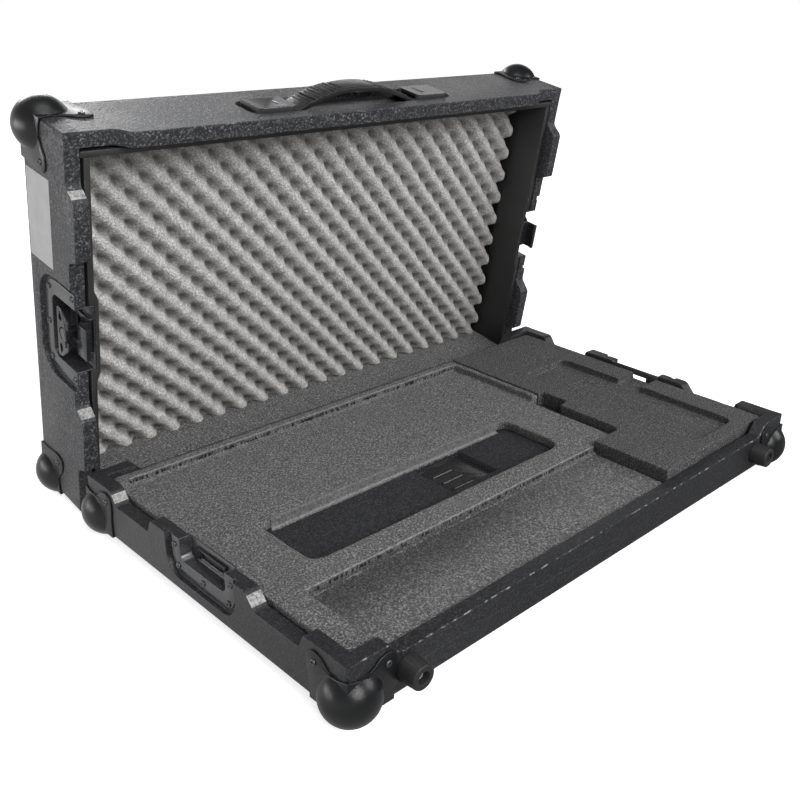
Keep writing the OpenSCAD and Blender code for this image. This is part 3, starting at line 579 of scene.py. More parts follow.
WELD = 0.002 * MM
FLAT = math.radians(0.4)
HARD = math.radians(28.0)


def node_mesh(node, place):
    """A merged copy of a node's mesh in the frame of its half, with flat faces dissolved."""
    bm = bmesh.new()
    bm.from_mesh(frame["nodes"][node].data)
    bmesh.ops.transform(bm, matrix=place.inverted(), verts=bm.verts)
    bmesh.ops.remove_doubles(bm, verts=bm.verts, dist=WELD)
    bmesh.ops.dissolve_limit(bm, angle_limit=FLAT, verts=bm.verts, edges=bm.edges)
    return bm


def face_mark(bm, name):
    """The faces' layer of that name, made when it is missing."""
    return bm.faces.layers.float.get(name) or bm.faces.layers.float.new(name)


def soften(bm, width, keep=None, segments=2, shortest=0.0):
    """Bevels the hard edges that keep allows, and marks the new faces as worn."""
    face_mark(bm, "wear")
    hard = []
    for edge in bm.edges:
        if len(edge.link_faces) != 2 or edge.calc_length() < shortest:
            continue
        if edge.calc_face_angle() > HARD and (keep is None or keep(edge)):
            hard.append(edge)
    made = bmesh.ops.bevel(
        bm, geom=hard, offset=width, offset_type="OFFSET", segments=segments, profile=0.5,
        affect="EDGES", clamp_overlap=False, material=-1,
    )
    wear = face_mark(bm, "wear")
    for face in made["faces"]:
        if face.is_valid:
            face[wear] = 1.0


def piece(name, bm, place, looks, body, replaced=(), smooth=35.0):
    """Makes the object in its place, with its materials, body and the nodes it stands for."""
    bmesh.ops.transform(bm, matrix=place, verts=bm.verts)
    mesh = bpy.data.meshes.new(name)
    bm.to_mesh(mesh)
    bm.free()
    for look in looks:
        mesh.materials.append(look)
    mesh.shade_smooth()
    mesh.set_sharp_from_angle(angle=math.radians(smooth))
    made = bpy.data.objects.new(name, mesh)
    bpy.context.scene.collection.objects.link(made)
    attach(made, body)
    if replaced:
        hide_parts(*replaced)
    return made


def paint_node(node, look):
    """Gives a node that stays its finish."""
    kept = frame["nodes"][node]
    if not kept.material_slots:
        kept.data.materials.append(look)
    for held in kept.material_slots:
        held.material = look


def waver(point, scale, amount, seed=0.0):
    """Smooth wander of a point."""
    return noise.noise_vector(point * scale + Vector((seed, seed, seed))) * amount


# ---------------------------------------------------------------- boards


# How far a slope's face leans, from a wall (0) to the rim (1), and its least area
SLOPE_LEAN = (0.5, 0.82)
SLOPE_AREA = 40 * MM * MM
FAINT_WEAR = 0.35
JOINT_SLACK = 0.2 * MM


def mark_slopes(bm, rim_axis):
    """Marks the gentle slopes between the rim's levels."""
    slope = face_mark(bm, "slope")
    bm.normal_update()
    for face in bm.faces:
        lean = abs(face.normal[rim_axis])
        if SLOPE_LEAN[0] < lean < SLOPE_LEAN[1] and face.calc_area() > SLOPE_AREA:
            face[slope] = 1.0


def fade_wear(bm, is_front):
    """Leaves full wear only on the outer top edge of the front board."""
    wear = face_mark(bm, "wear")
    front = min(v.co.y for v in bm.verts)
    top = max(v.co.z for v in bm.verts)
    for face in bm.faces:
        middle = face.calc_center_median()
        outer = middle.y < front + 2 * MM and middle.z > top - 16 * MM
        if face[wear] and not (is_front and outer):
            face[wear] = FAINT_WEAR


def board(node, place, rim_axis, planes, body):
    """A painted board whose edges are softened, but not where it meets another board."""
    values = bpy.context.scene.pedal_paint
    bm = node_mesh(node, place)
    for co, normal in planes:
        geom = bm.verts[:] + bm.edges[:] + bm.faces[:]
        bmesh.ops.bisect_plane(bm, geom=geom, dist=1e-6, plane_co=co, plane_no=normal)
    if node.endswith("left_wall"):
        mark_slopes(bm, rim_axis)

    def is_free(edge):
        middle = (edge.verts[0].co + edge.verts[1].co) / 2
        return not at_joint(middle, planes)

    soften(bm, values.edge, keep=is_free, shortest=0.5 * MM)
    fade_wear(bm, node == "base_front_wall")
    if body == "base":
        look = case_paint()
    else:
        # The lid's copy of the same paint is 1.7 times lighter with more glints: painted light for the lid's
        # brighter-lit rims and top
        look = case_paint("lid paint", relief=1.0, painted_glint=0.4, grain_share=0.75, tone=1.7)
    piece("dressed_" + node, bm, place, [look], body, [node], smooth=20.0)


def at_joint(point, planes):
    """Whether a point lies in the corner zone where two boards meet."""
    beyond = [(point - co).dot(normal) for co, normal in planes]
    across = [abs(b) < JOINT_SLACK for b in beyond]
    outside = [b > -JOINT_SLACK for b in beyond]
    return sum(outside) >= 2 and any(across)


def joint_planes(floor_node, place, depth_axis):
    """Planes through the inner faces of the boards, from the box of the floor board."""
    low, high = local_box(floor_node, place)
    planes = []
    for axis in (0, depth_axis):
        for corner, sign in ((low, -1), (high, 1)):
            normal = Vector((0, 0, 0))
            normal[axis] = sign
            planes.append((corner.copy(), normal))
    return planes


class BoardsOperator(bpy.types.Operator):
    """Make the painted boards of both halves"""

    bl_idname = "pedal_case.boards"
    bl_label = "Boards"

    def execute(self, context):
        base_planes = joint_planes("base_floor", BASE, 1)
        for part in ("floor", "front_wall", "back_wall", "left_wall", "right_wall"):
            board("base_" + part, BASE, 2, base_planes, "base")
        lid_planes = joint_planes("lid_panel", LID, 2)
        for part in ("panel", "bottom_wall", "top_wall", "left_wall", "right_wall"):
            board("lid_" + part, LID, 1, lid_planes, "lid")
        return {"FINISHED"}


class LinersOperator(bpy.types.Operator):
    """Make the lid's liners"""

    bl_idname = "pedal_case.liners"
    bl_label = "Liners"

    def execute(self, context):
        for part in ("left", "right", "top"):
            node = "lid_liner_" + part
            bm = node_mesh(node, LID)
            soften(bm, 0.7 * MM, shortest=2 * MM)
            piece("dressed_" + node, bm, LID, [liner_paint()], "lid", [node])
        return {"FINISHED"}


# ---------------------------------------------------------------- hardware


def hardware(node, place, look, body, slot, width, segments=2, smooth=35.0, shortest=0.6 * MM, keep=None):
    """A bevelled copy of a metal or moulded node."""
    bm = node_mesh(node, place)
    soften(bm, width, keep=keep, segments=segments, shortest=shortest)
    return piece("dressed_" + node, bm, place, [look], body, [node], smooth)


class CornersOperator(bpy.types.Operator):
    """Make the ball corners"""

    bl_idname = "pedal_case.corners"
    bl_label = "Ball corners"

    def execute(self, context):
        for half, place in (("base", BASE), ("lid", LID)):
            for corner in CORNERS:
                hardware(f"{half}_corner_{corner}", place, black_steel(), half, "black_steel", 0.6 * MM)
        return {"FINISHED"}


class DishesOperator(bpy.types.Operator):
    """Make the latch dishes and keepers"""

    bl_idname = "pedal_case.dishes"
    bl_label = "Latch dishes"

    def execute(self, context):
        edge = context.scene.pedal_metal.edge
        for side in SIDES:
            hardware("base_dish_" + side, BASE, dish_steel(), "base", "black_steel", edge)
            hardware("lid_dish_" + side, LID, dish_steel(), "lid", "black_steel", edge)
            hardware("keeper_" + side, BASE, latch_steel(), "base", "black_steel", edge)
        return {"FINISHED"}


class LatchesOperator(bpy.types.Operator):
    """Make the turning latches"""

    bl_idname = "pedal_case.latches"
    bl_label = "Latches"

    def execute(self, context):
        edge = context.scene.pedal_metal.edge
        for side in SIDES:
            for part in ("cam", "wing", "hook"):
                node = f"latch_{part}_{side}"
                hardware(node, LID, latch_steel(), node, "black_steel", edge)
        return {"FINISHED"}


# How far from its mouth a handle cap keeps the sharp edges that let the strip slide
CAP_MOUTH = 16 * MM


class HandleOperator(bpy.types.Operator):
    """Make the strap handle"""

    bl_idname = "pedal_case.handle"
    bl_label = "Handle"

    def execute(self, context):
        for side in SIDES:
            low, high = local_box("handle_cap_" + side, LID)
            mouth = high.x if side == "left" else low.x

            def is_outer(edge):
                return abs((edge.verts[0].co.x + edge.verts[1].co.x) / 2 - mouth) > CAP_MOUTH

            look = cap_plastic()
            hardware("handle_cap_" + side, LID, look, "lid", "grip_plastic", MM, segments=3, keep=is_outer)
        hardware("handle_grip", LID, grip_plastic(), "grip", "grip_plastic", 0.5 * MM)
        paint_node("handle_strip", bright_steel())
        paint_node("handle_bolts", bright_steel())
        return {"FINISHED"}


class FeetOperator(bpy.types.Operator):
    """Make the rubber feet"""

    bl_idname = "pedal_case.feet"
    bl_label = "Rubber feet"

    def execute(self, context):
        fine = {"smooth": 40.0, "shortest": 0.1 * MM}
        for side in SIDES:
            hardware("rubber_foot_" + side, BASE, rubber(), "base", "rubber", 0.5 * MM, **fine)
        for node, slot in (("foot_washers", "bright_steel"), ("foot_screws", "black_steel")):
            hardware(node, BASE, socket_steel(), "base", slot, 0.2 * MM, segments=1, **fine)
        return {"FINISHED"}


def islands(bm):
    """Groups of connected points, in the mesh's own order."""
    seen = set()
    found = []
    for first in bm.verts:
        if first in seen:
            continue
        seen.add(first)
        stack = [first]
        held = []
        while stack:
            vert = stack.pop()
            held.append(vert)
            for edge in vert.link_edges:
                other = edge.other_vert(vert)
                if other not in seen:
                    seen.add(other)
                    stack.append(other)
        found.append(held)
    return found


def screw_places(node, place):
    """Top of each screw's head and the direction it looks, in the frame of its half."""
    bm = node_mesh(node, place)
    places = []
    for held in islands(bm):
        low, high = extent([v.co for v in held])
        size = high - low
        axis = max(range(3), key=lambda i: size[i])
        middle = (low + high) / 2
        wide = max(held, key=lambda v: (v.co - middle).length - abs(v.co[axis] - middle[axis]))
        sign = 1 if wide.co[axis] > middle[axis] else -1
        top = middle.copy()
        top[axis] = (high if sign > 0 else low)[axis]
        out = Vector((0, 0, 0))
        out[axis] = sign
        places.append((top, out))
    bm.free()
    return places


SCREW_RADIUS = 3.2 * MM
SCREW_HEAD = 1.5 * MM
SCREW_TURN = 0.7
# How much each ring of the head grows on the one before, and drops in shares of the head
SCREW_RINGS = ((1.22, 0.22), (1.08, 0.28), (1.0, 0.45))


def grown(made):
    """The new points and the new edges between them, of what an extrusion made."""
    verts = [v for v in made if isinstance(v, bmesh.types.BMVert)]
    edges = [e for e in made if isinstance(e, bmesh.types.BMEdge)]
    return verts, [e for e in edges if e.verts[0] in verts and e.verts[1] in verts]


def add_screw(bm, top, out, turn):
    """Domed head with a sunk cross, built at the origin and then set on its place."""
    half = SCREW_RADIUS * 0.17
    arm = SCREW_RADIUS * 0.56
    plus = [(half, half), (half, arm), (-half, arm)]
    while len(plus) < 12:
        x, y = plus[-3]
        plus.append((-y, x))
    start = len(bm.verts)
    cross = [bm.verts.new((x, y, -SCREW_HEAD * 0.04)) for x, y in plus]
    cross_edges = [bm.edges.new((cross[i - 1], cross[i])) for i in range(len(cross))]
    ring = bmesh.ops.create_circle(bm, cap_ends=False, segments=24, radius=SCREW_RADIUS * 0.74)["verts"]
    ring_edges = [e for e in bm.edges if e.verts[0] in ring and e.verts[1] in ring]
    bmesh.ops.triangle_fill(bm, edges=ring_edges + cross_edges, use_beauty=True, use_dissolve=False)
    edges = ring_edges
    for grow, drop in SCREW_RINGS:
        verts, edges = grown(bmesh.ops.extrude_edge_only(bm, edges=edges)["geom"])
        bmesh.ops.scale(bm, vec=(grow, grow, 1), verts=verts)
        bmesh.ops.translate(bm, vec=(0, 0, -SCREW_HEAD * drop), verts=verts)
    verts, bottom = grown(bmesh.ops.extrude_edge_only(bm, edges=cross_edges)["geom"])
    bmesh.ops.scale(bm, vec=(0.75, 0.75, 1), verts=verts)
    bmesh.ops.translate(bm, vec=(0, 0, -SCREW_HEAD * 0.7), verts=verts)
    bmesh.ops.contextual_create(bm, geom=bottom)
    bm.verts.ensure_lookup_table()
    made = bm.verts[start:]
    spin = Vector((0, 0, 1)).rotation_difference(out).to_matrix().to_4x4()
    place = Matrix.Translation(top) @ spin @ Matrix.Rotation(turn, 4, "Z")
    bmesh.ops.transform(bm, matrix=place, verts=made)


class ScrewsOperator(bpy.types.Operator):
    """Make the cross-head screws"""

    bl_idname = "pedal_case.screws"
    bl_label = "Screws"

    def execute(self, context):
        for node, place, body in (
            ("base_corner_screws", BASE, "base"), ("base_dish_screws", BASE, "base"),
            ("lid_corner_screws", LID, "lid"), ("lid_dish_screws", LID, "lid"),
        ):
            bm = bmesh.new()
            for count, (top, out) in enumerate(screw_places(node, place)):
                add_screw(bm, top, out, SCREW_TURN * count)
            bmesh.ops.recalc_face_normals(bm, faces=bm.faces)
            piece("dressed_" + node, bm, place, [screw_steel()], body, [node], smooth=30.0)
        return {"FINISHED"}


# ---------------------------------------------------------------- foam


def remeshed(bm, voxel):
    """The closed mesh remade of even cells, which also softens its edges."""
    mesh = bpy.data.meshes.new("block")
    bm.to_mesh(mesh)
    bm.free()
    held = bpy.data.objects.new("block", mesh)
    bpy.context.scene.collection.objects.link(held)
    cells = held.modifiers.new("cells", "REMESH")
    cells.mode = "VOXEL"
    cells.voxel_size = voxel
    made = bpy.data.meshes.new_from_object(held.evaluated_get(bpy.context.evaluated_depsgraph_get()))
    fine = bmesh.new()
    fine.from_mesh(made)
    bpy.data.objects.remove(held)
    bpy.data.meshes.remove(mesh)
    bpy.data.meshes.remove(made)
    return fine


# Levels between which the front shelf's top lies, and the line along which its step rises
SHELF_LEVELS = (30 * MM, 38 * MM)
SHELF_BACK = -91 * MM
ROUND_MARKS = ((53 * MM, -149 * MM), (-105 * MM, -133 * MM))
MARK_RADIUS = 8 * MM
MARK_DEPTH = 1 * MM
FOAM_LOWER = Vector((0, 0, 0.2 * MM))


def dent(point):
    """How far the pressed round marks of the front shelf lower the foam at a point."""
    if not SHELF_LEVELS[0] < point.z < SHELF_LEVELS[1]:
        return 0.0
    near = min(((point.x - x) ** 2 + (point.y - y) ** 2) ** 0.5 for x, y in ROUND_MARKS)
    return MARK_DEPTH * min(1.0, max(0.0, 1.25 - near / MARK_RADIUS))


def shade_on_walls_only(point):
    """Foam whose only painted shade is on its left-facing walls."""
    return 0.0


def painted_shelf_shade(point):
    """Painted shade on the front shelf under its step, stronger towards the left."""
    if point.z > SHELF_LEVELS[1] or point.y > SHELF_BACK + MM:
        return 0.0
    near = max(0.0, 1 - (SHELF_BACK - point.y) / (70 * MM))
    left = 0.3 - (point.x - 40 * MM) / (250 * MM)
    return 1.5 * near * min(1.0, max(0.3, left))


def cut_foam(node, place, look, body, voxel, shade=None):
    """Foam block with soft, slightly wandering cuts, a slightly uneven top, and painted shade when a shade is
    given.
    """
    wander = bpy.context.scene.pedal_foam.wander
    bm = remeshed(node_mesh(node, place), voxel)
    bmesh.ops.smooth_vert(bm, verts=bm.verts, factor=0.5, use_axis_x=True, use_axis_y=True, use_axis_z=True)
    bm.normal_update()
    # The hollow layer carries the painted shade that the foam material draws
    hollow = bm.verts.layers.float.new("hollow")
    for vert in bm.verts:
        step = waver(vert.co, 45.0, wander) + waver(vert.co, 170.0, wander * 0.5, 7.0)
        if shade:
            # Painted shade: faces that look to the left, away from the key lamp, are marked darker, as is
            # what the shade function paints
            wall = min(1.0, max(0.0, -1.4 * vert.normal.x - 0.3))
            vert[hollow] = 0.5 + 0.5 * max(shade(vert.co), wall * 1.3)
            step.z -= dent(vert.co)
        vert.co += step - FOAM_LOWER
    made = piece("dressed_" + node, bm, place, [look], body, [node], smooth=70.0)
    return made


TORN_CELL = 1.3 * MM
# Shares of the strip's width at which it leaves the shelf and reaches the top of the step
TORN_FOOT = 0.3
TORN_TOP = 0.8
# Steps lower than this are torn, and higher ones are cut clean
TORN_HEIGHT = 10 * MM


def torn_profile(t, ragged, tall):
    """How far the strip stands out from the step and over the shelf, in mm, at a share of its width."""
    if t < TORN_FOOT:
        out = 5.0 - 4.0 * t / TORN_FOOT + ragged * (TORN_FOOT - t) * 5
        rise = 0.5 - 1.2 * max(0.0, 0.1 - t) / 0.1
    elif t < TORN_TOP:
        out = 1.0
        rise = 0.5 + (t - TORN_FOOT) / (TORN_TOP - TORN_FOOT) * (tall - 0.3)
    else:
        out = 1.0 - (t - TORN_TOP) / 0.2 * (2.6 + 0.6 * ragged)
        rise = tall + 0.35 + 0.15 * ragged - 1.4 * max(0.0, t - 0.93) / 0.07
    return out, rise


def torn_marks(t, ragged, torn):
    """How strong the painted highlight on the strip is, and how far it is torn, which sets its painted shade,
    at a share of its width.
    """
    if not torn:
        # A tall clean step is painted a little lighter all over, with a painted highlight along its foot
        return 0.12 + 0.9 * max(0.0, 1 - abs(t - TORN_FOOT) * 9), 0.0
    lip = min(1.0, max(0.0, (t - 0.76 + 0.05 * ragged) * 9)) + 0.4 * max(0.0, 1 - abs(t - 0.1) * 14)
    return lip, min(1.0, max(0.0, 1.5 * (1 - abs(t - 0.44) / 0.4)))


def torn_band(bm, start, end, low, high, seed):
    """Strip over a foam step that looks to the front: along the shelf, up the step and over its top."""
    length = (end - start).length
    along = max(20, int(length / TORN_CELL))
    lip = bm.verts.layers.float.get("lip") or bm.verts.layers.float.new("lip")
    tear = bm.verts.layers.float.get("tear") or bm.verts.layers.float.new("tear")
    grid = bmesh.ops.create_grid(bm, x_segments=along, y_segments=14, size=0.5)["verts"]
    front = (end - start).cross(Vector((0, 0, 1))).normalized()
    for vert in grid:
        s = vert.co.x + 0.5
        t = vert.co.y + 0.5
        ragged = noise.noise(Vector((s * length * 190, seed, 0)))
        ragged += noise.noise(Vector((s * length * 520, seed, 3)))
        out, rise = torn_profile(t, ragged, (high - low) / MM)
        point = start + (end - start) * s + front * (out * MM) + Vector((0, 0, low + rise * MM))
        point += waver(point, 380.0, 0.5 * MM, seed)
        vert[lip], vert[tear] = torn_marks(t, ragged, high - low < TORN_HEIGHT)
        vert.co = point


def front_steps(node):
    """Long faces of a foam block that look to the front, each as its ends and heights."""
    bm = node_mesh(node, BASE)
    front = min(v.co.y for v in bm.verts)
    found = []
    bm.normal_update()
    for face in bm.faces:
        low, high = extent([v.co for v in face.verts])
        if face.normal.y < -0.95 and high.x - low.x > 200 * MM and low.y > front + 2 * MM:
            found.append((Vector((low.x, low.y, 0)), Vector((high.x, low.y, 0)), low.z, high.z))
    bm.free()
    return sorted(found, key=lambda step: step[0].y)


class BaseFoamOperator(bpy.types.Operator):
    """Make the cut foam of the base"""

    bl_idname = "pedal_case.base_foam"
    bl_label = "Base foam"

    def execute(self, context):
        values = context.scene.pedal_foam
        grey_foam = foam("base foam", values.colour, shade=0.62)
        black_foam = foam("floor foam", values.floor, pore=0.4, fleck=2.6, scale=1.2, depth=0.8 * MM)
        cut_foam("foam_main", BASE, grey_foam, "base", values.voxel, painted_shelf_shade)
        # Painted shade: the side block is the base foam at 0.62 of its colour, for the dimmer light at the
        # back right
        shaded_side_foam = foam("side foam", times(values.colour, 0.62), shade=0.62)
        cut_foam("foam_side", BASE, shaded_side_foam, "base", values.voxel * 0.7, shade_on_walls_only)
        made = hardware("foam_floor", BASE, black_foam, "base", "floor_foam", 0.5 * MM, smooth=40.0,
                        shortest=2 * MM)
        bands = bmesh.new()
        for count, (start, end, foot, top) in enumerate(front_steps("foam_main")):
            torn_band(bands, start, end, foot, top, 1.0 + count)
        bmesh.ops.recalc_face_normals(bands, faces=bands.faces)
        made = piece("torn_steps", bands, BASE, [torn_foam()], "base", smooth=60.0)
        return {"FINISHED"}


class RibbedPadOperator(bpy.types.Operator):
    """Make the ribbed pad in the slot"""

    bl_idname = "pedal_case.ribbed_pad"
    bl_label = "Ribbed pad"

    def execute(self, context):
        hardware("ribbed_pad", BASE, pad_plastic(), "base", "pad_plastic", 0.4 * MM, smooth=40.0,
                 shortest=2 * MM)
        return {"FINISHED"}


# Depth of the egg-crate form, and how far the painted shadow under the top liner reaches down
EGG_DEPTH = 15 * MM
EGG_LINER_SHADOW = 42 * MM


def egg_sunk(egg, x, z):
    """How far the egg-crate form is sunk at a place: 0 on a ridge, 1 in a hollow."""
    drift = waver(Vector((x, 0, z)), 14, 1.2 * MM)
    px = (x - egg.first_x + drift.x) / egg.pitch
    pz = (z - egg.first + drift.z) / (2 * egg.row)
    s = egg.ridge * math.cos(2 * math.pi * (px + pz)) + (1 - egg.ridge) * math.cos(2 * math.pi * (px - pz))
    return (1 + s) / 2


def egg_mesh(egg):
    """Closed block in the lid's frame whose front has the egg-crate form."""
    low, high = local_box("lid_foam_egg", LID)
    width = high.x - low.x
    tall = high.z - low.z
    along = round(width / egg.pitch * egg.steps)
    up = round(tall / (2 * egg.row) * egg.steps)
    bm = bmesh.new()
    hollow = bm.verts.layers.float.new("hollow")
    for vert in bmesh.ops.create_grid(bm, x_segments=along, y_segments=up, size=0.5)["verts"]:
        x = low.x + (vert.co.x + 0.5) * width
        z = low.z + (vert.co.y + 0.5) * tall
        sunk = egg_sunk(egg, x, z)
        # Painted shade in the hollow layer: the form's hollows are marked by how sunk they are, and a painted
        # shadow lies under the top liner
        under = min(1.0, max(0.0, 1 - (high.z - z) / EGG_LINER_SHADOW))
        vert[hollow] = max(sunk, 0.5 + 0.5 * under)
        depth = low.y + EGG_DEPTH * sunk ** egg.round
        depth += waver(Vector((x, depth, z)), 300.0, 0.25 * MM).y
        vert.co = Vector((x, depth, z))
    rim = [e for e in bm.edges if e.is_boundary]
    made = bmesh.ops.extrude_edge_only(bm, edges=rim)["geom"]
    for vert in [v for v in made if isinstance(v, bmesh.types.BMVert)]:
        vert.co.y = high.y
    rear = [e for e in made if isinstance(e, bmesh.types.BMEdge) and e.is_boundary]
    bmesh.ops.contextual_create(bm, geom=rear)
    bmesh.ops.recalc_face_normals(bm, faces=bm.faces)
    return bm


class EggFoamOperator(bpy.types.Operator):
    """Make the egg-crate foam and the flat foam of the lid"""

    bl_idname = "pedal_case.egg_foam"
    bl_label = "Egg-crate foam"

    def execute(self, context):
        values = context.scene.pedal_foam
        # shade sets how dark the painted shade in the hollows and under the liner gets
        look = foam("egg foam", values.egg, pore=0.5, fleck=1.4, scale=0.9, shade=0.85)
        bm = egg_mesh(context.scene.pedal_egg)
        made = piece("egg_crate_foam", bm, LID, [look], "lid", ["lid_foam_egg"], smooth=60.0)
        flat = foam("lid floor foam", values.colour)
        cut_foam("lid_foam_bottom", LID, flat, "lid", values.voxel)
        return {"FINISHED"}


# ---------------------------------------------------------------- label


# Lowest and highest places of the label in the lid's frame, its thickness and its gap to the wall
LABEL_Y = (31.8 * MM, 77 * MM)
LABEL_Z = (268.8 * MM, 357 * MM)
LABEL_THICK = 0.2 * MM
LABEL_GAP = 0.02 * MM
LABEL_CORNER = 1.5 * MM


class LabelOperator(bpy.types.Operator):
    """Make the blank label on the lid's left end"""

    bl_idname = "pedal_case.label"
    bl_label = "Label"

    def execute(self, context):
        low = local_box("lid_left_wall", LID)[0]
        bm = bmesh.new()
        made = bmesh.ops.create_cube(bm, size=1.0)["verts"]
        size = (LABEL_THICK, LABEL_Y[1] - LABEL_Y[0], LABEL_Z[1] - LABEL_Z[0])
        middle = (low.x - LABEL_GAP - LABEL_THICK / 2, sum(LABEL_Y) / 2, sum(LABEL_Z) / 2)
        bmesh.ops.scale(bm, vec=size, verts=made)
        bmesh.ops.translate(bm, vec=middle, verts=made)
        upright = [e for e in bm.edges if abs(e.verts[0].co.x - e.verts[1].co.x) > LABEL_THICK / 2]
        bmesh.ops.bevel(bm, geom=upright, offset=LABEL_CORNER, segments=4, profile=0.5, affect="EDGES")
        piece("label", bm, LID, [blank_label()], "lid", smooth=30.0)
        return {"FINISHED"}


# ---------------------------------------------------------------- stage


# Direction over the floor from which reflections are brightest: behind, at the left
BRIGHT_SIDE = (-0.8, 0.6, 0.0)
# Place, aim, width and height of each lamp
LAMPS = {
    "key": ((1.6, -1.55, 1.35), (0, 0, 0.12), 1.5, 1.5),
    "front": ((-0.5, -1.9, 1.3), (0, 0, 0.15), 1.4, 1.4),
    "top": ((-0.3, -0.3, 1.2), (-0.12, -0.05, 0.05), 0.9, 0.9),
    "side": ((-1.8, 0.95, 0.34), (-0.3, 0, 0.2), 1.8, 0.5),
    "back": ((2.0, 2.0, 1.25), (0, 0.2, 0.4), 2.2, 0.9),
    "rear": ((0.3, 2.4, 1.4), (0, 0.2, 0.4), 1.6, 0.9),
}


def area_lamp(name, place, aim, width, tall, power):
    """An oval lamp that looks at its aim and isn't seen itself."""
    lamp = bpy.data.lights.new(name, "AREA")
    lamp.shape = "ELLIPSE"
    lamp.size = width
    lamp.size_y = tall
    lamp.energy = power
    made = bpy.data.objects.new(name, lamp)
    made.location = place
    made.rotation_euler = (Vector(aim) - Vector(place)).to_track_quat("-Z", "Y").to_euler()
    made.visible_camera = False
    bpy.context.scene.collection.objects.link(made)


def floor_material():
    """Pale floor with the object's shadow, white to the camera and brighter behind in reflections."""
    made = bpy.data.materials.new("floor")
    made.use_nodes = True
    tree = made.node_tree
    tree.nodes.remove(tree.nodes["Principled BSDF"])
    path = add(tree, "LightPath").outputs
    where = add(tree, "TexCoord").outputs["Object"]
    soft = ramp(tree, fine_noise(tree, 3.0, 2.0, 0.5, where), 0.3, 0.7, 0.72, 0.74)
    tone = choose(tree, path["Is Glossy Ray"], soft, 0.2)
    matt = add(tree, "BsdfDiffuse", {"Color": tone}).outputs[0]
    away = add(tree, "VectorMath", {0: where}, operation="LENGTH").outputs["Value"]
    level = ramp(tree, away, 0.8, 3.0, 0.75, 0.95)
    side = add(tree, "VectorMath", {0: where, 1: BRIGHT_SIDE}, operation="DOT_PRODUCT").outputs["Value"]
    mirrored = calc(tree, "MULTIPLY", path["Is Glossy Ray"], ramp(tree, side, -0.08, 0.4, 0.0, 0.75))
    clear = calc(tree, "MAXIMUM", path["Is Camera Ray"], path["Is Transmission Ray"])
    strength = calc(tree, "MAXIMUM", calc(tree, "MULTIPLY", clear, level), mirrored)
    glow = add(tree, "Emission", {"Strength": strength}).outputs[0]
    both = add(tree, "AddShader", {0: matt, 1: glow}).outputs[0]
    tree.links.new(both, tree.nodes["Material Output"].inputs["Surface"])
    return made


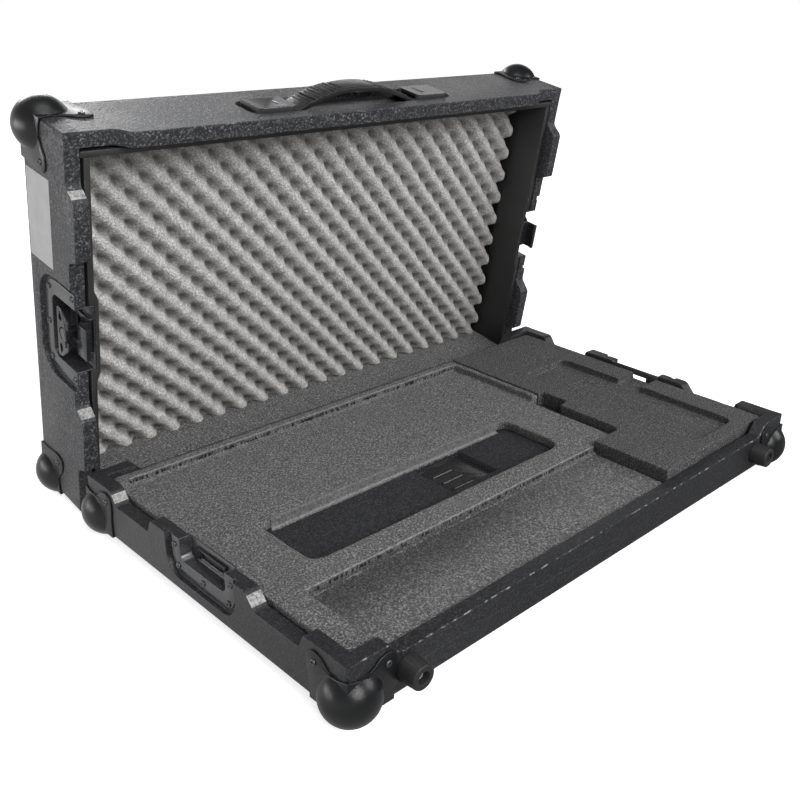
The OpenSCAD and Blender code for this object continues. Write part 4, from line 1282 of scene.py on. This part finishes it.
class StageOperator(bpy.types.Operator):
    """Make the floor, the lamps and the camera"""

    bl_idname = "pedal_case.stage"
    bl_label = "Stage"

    def execute(self, context):
        values = context.scene.pedal_stage
        context.scene.view_settings.view_transform = "Standard"
        bm = bmesh.new()
        bmesh.ops.create_grid(bm, x_segments=4, y_segments=4, size=12.0)
        mesh = bpy.data.meshes.new("floor")
        bm.to_mesh(mesh)
        bm.free()
        mesh.materials.append(floor_material())
        floor = bpy.data.objects.new("floor", mesh)
        context.scene.collection.objects.link(floor)
        self.light(context, values)
        self.look(context, values)
        return {"FINISHED"}

    def light(self, context, values):
        """White world whose reflections are a room that is brighter low down and behind at the left."""
        world = bpy.data.worlds.new("soft room")
        world.use_nodes = True
        tree = world.node_tree
        towards = add(tree, "TexCoord").outputs["Generated"]
        height = add(tree, "SeparateXYZ", {0: towards}).outputs["Z"]
        side = add(tree, "VectorMath", {0: towards, 1: BRIGHT_SIDE}, operation="DOT_PRODUCT").outputs["Value"]
        low = ramp(tree, height, -0.05, 0.42, 1.0, 0.35)
        room = calc(tree, "MULTIPLY", low, ramp(tree, side, -0.7, 0.4, 0.08, 1.0))
        path = add(tree, "LightPath").outputs
        soft = choose(tree, path["Is Glossy Ray"], values.world, room)
        clear = calc(tree, "MAXIMUM", path["Is Camera Ray"], path["Is Transmission Ray"])
        strength = choose(tree, clear, soft, 1.0)
        background = tree.nodes["Background"]
        background.inputs["Color"].default_value = (1, 1, 1, 1)
        tree.links.new(strength, background.inputs["Strength"])
        context.scene.world = world
        for name, (place, aim, width, tall) in LAMPS.items():
            area_lamp(name, place, aim, width, tall, getattr(values, name))

    def look(self, context, values):
        """Camera at the photograph's place, angle and focal length."""
        around, above, roll = [math.radians(a) for a in (values.azimuth, values.elevation, values.roll)]
        level = math.cos(above)
        back = Vector((math.sin(around) * level, -math.cos(around) * level, math.sin(above)))
        right = (-back).cross(Vector((0, 0, 1))).normalized()
        up = right.cross(-back)
        turned = right * math.cos(roll) + up * math.sin(roll)
        raised = up * math.cos(roll) - right * math.sin(roll)
        camera = bpy.data.cameras.new("camera")
        camera.sensor_width = 36.0
        camera.lens = values.focal / values.image * camera.sensor_width
        camera.shift_x = (values.image / 2 - values.centre[0]) / values.image
        camera.shift_y = (values.centre[1] - values.image / 2) / values.image
        camera.clip_end = 50.0
        made = bpy.data.objects.new("camera", camera)
        turn = Matrix((turned, raised, back)).transposed().to_4x4()
        made.matrix_world = Matrix.Translation(Vector(values.place)) @ turn
        context.scene.collection.objects.link(made)
        context.scene.camera = made


# ---------------------------------------------------------------- panel and registration

OPERATORS = (
    StageOperator, BoardsOperator, LinersOperator, CornersOperator, ScrewsOperator, DishesOperator,
    LatchesOperator, HandleOperator, FeetOperator, BaseFoamOperator, RibbedPadOperator,
    EggFoamOperator, LabelOperator,
)
VALUES = (
    ("pedal_paint", PaintValues), ("pedal_foam", FoamValues), ("pedal_egg", EggValues),
    ("pedal_metal", MetalValues), ("pedal_stage", StageValues),
)


class PedalCasePanel(bpy.types.Panel):
    """Lists the pieces of the case"""

    bl_idname = "VIEW3D_PT_pedal_case"
    bl_label = "Pedal case"
    bl_space_type = "VIEW_3D"
    bl_region_type = "UI"
    bl_category = "Pedal case"

    def draw(self, context):
        for operator in OPERATORS:
            self.layout.operator(operator.bl_idname)


def register():
    for _, values in VALUES:
        bpy.utils.register_class(values)
    for name, values in VALUES:
        setattr(bpy.types.Scene, name, PointerProperty(type=values))
    for operator in OPERATORS:
        bpy.utils.register_class(operator)
    bpy.utils.register_class(PedalCasePanel)


def unregister():
    bpy.utils.unregister_class(PedalCasePanel)
    for operator in reversed(OPERATORS):
        bpy.utils.unregister_class(operator)
    for name, values in reversed(VALUES):
        delattr(bpy.types.Scene, name)
        bpy.utils.unregister_class(values)


def main():
    register()
    for operator in OPERATORS:
        family, name = operator.bl_idname.split(".")
        getattr(getattr(bpy.ops, family), name)()


if __name__ == "__main__":
    main()
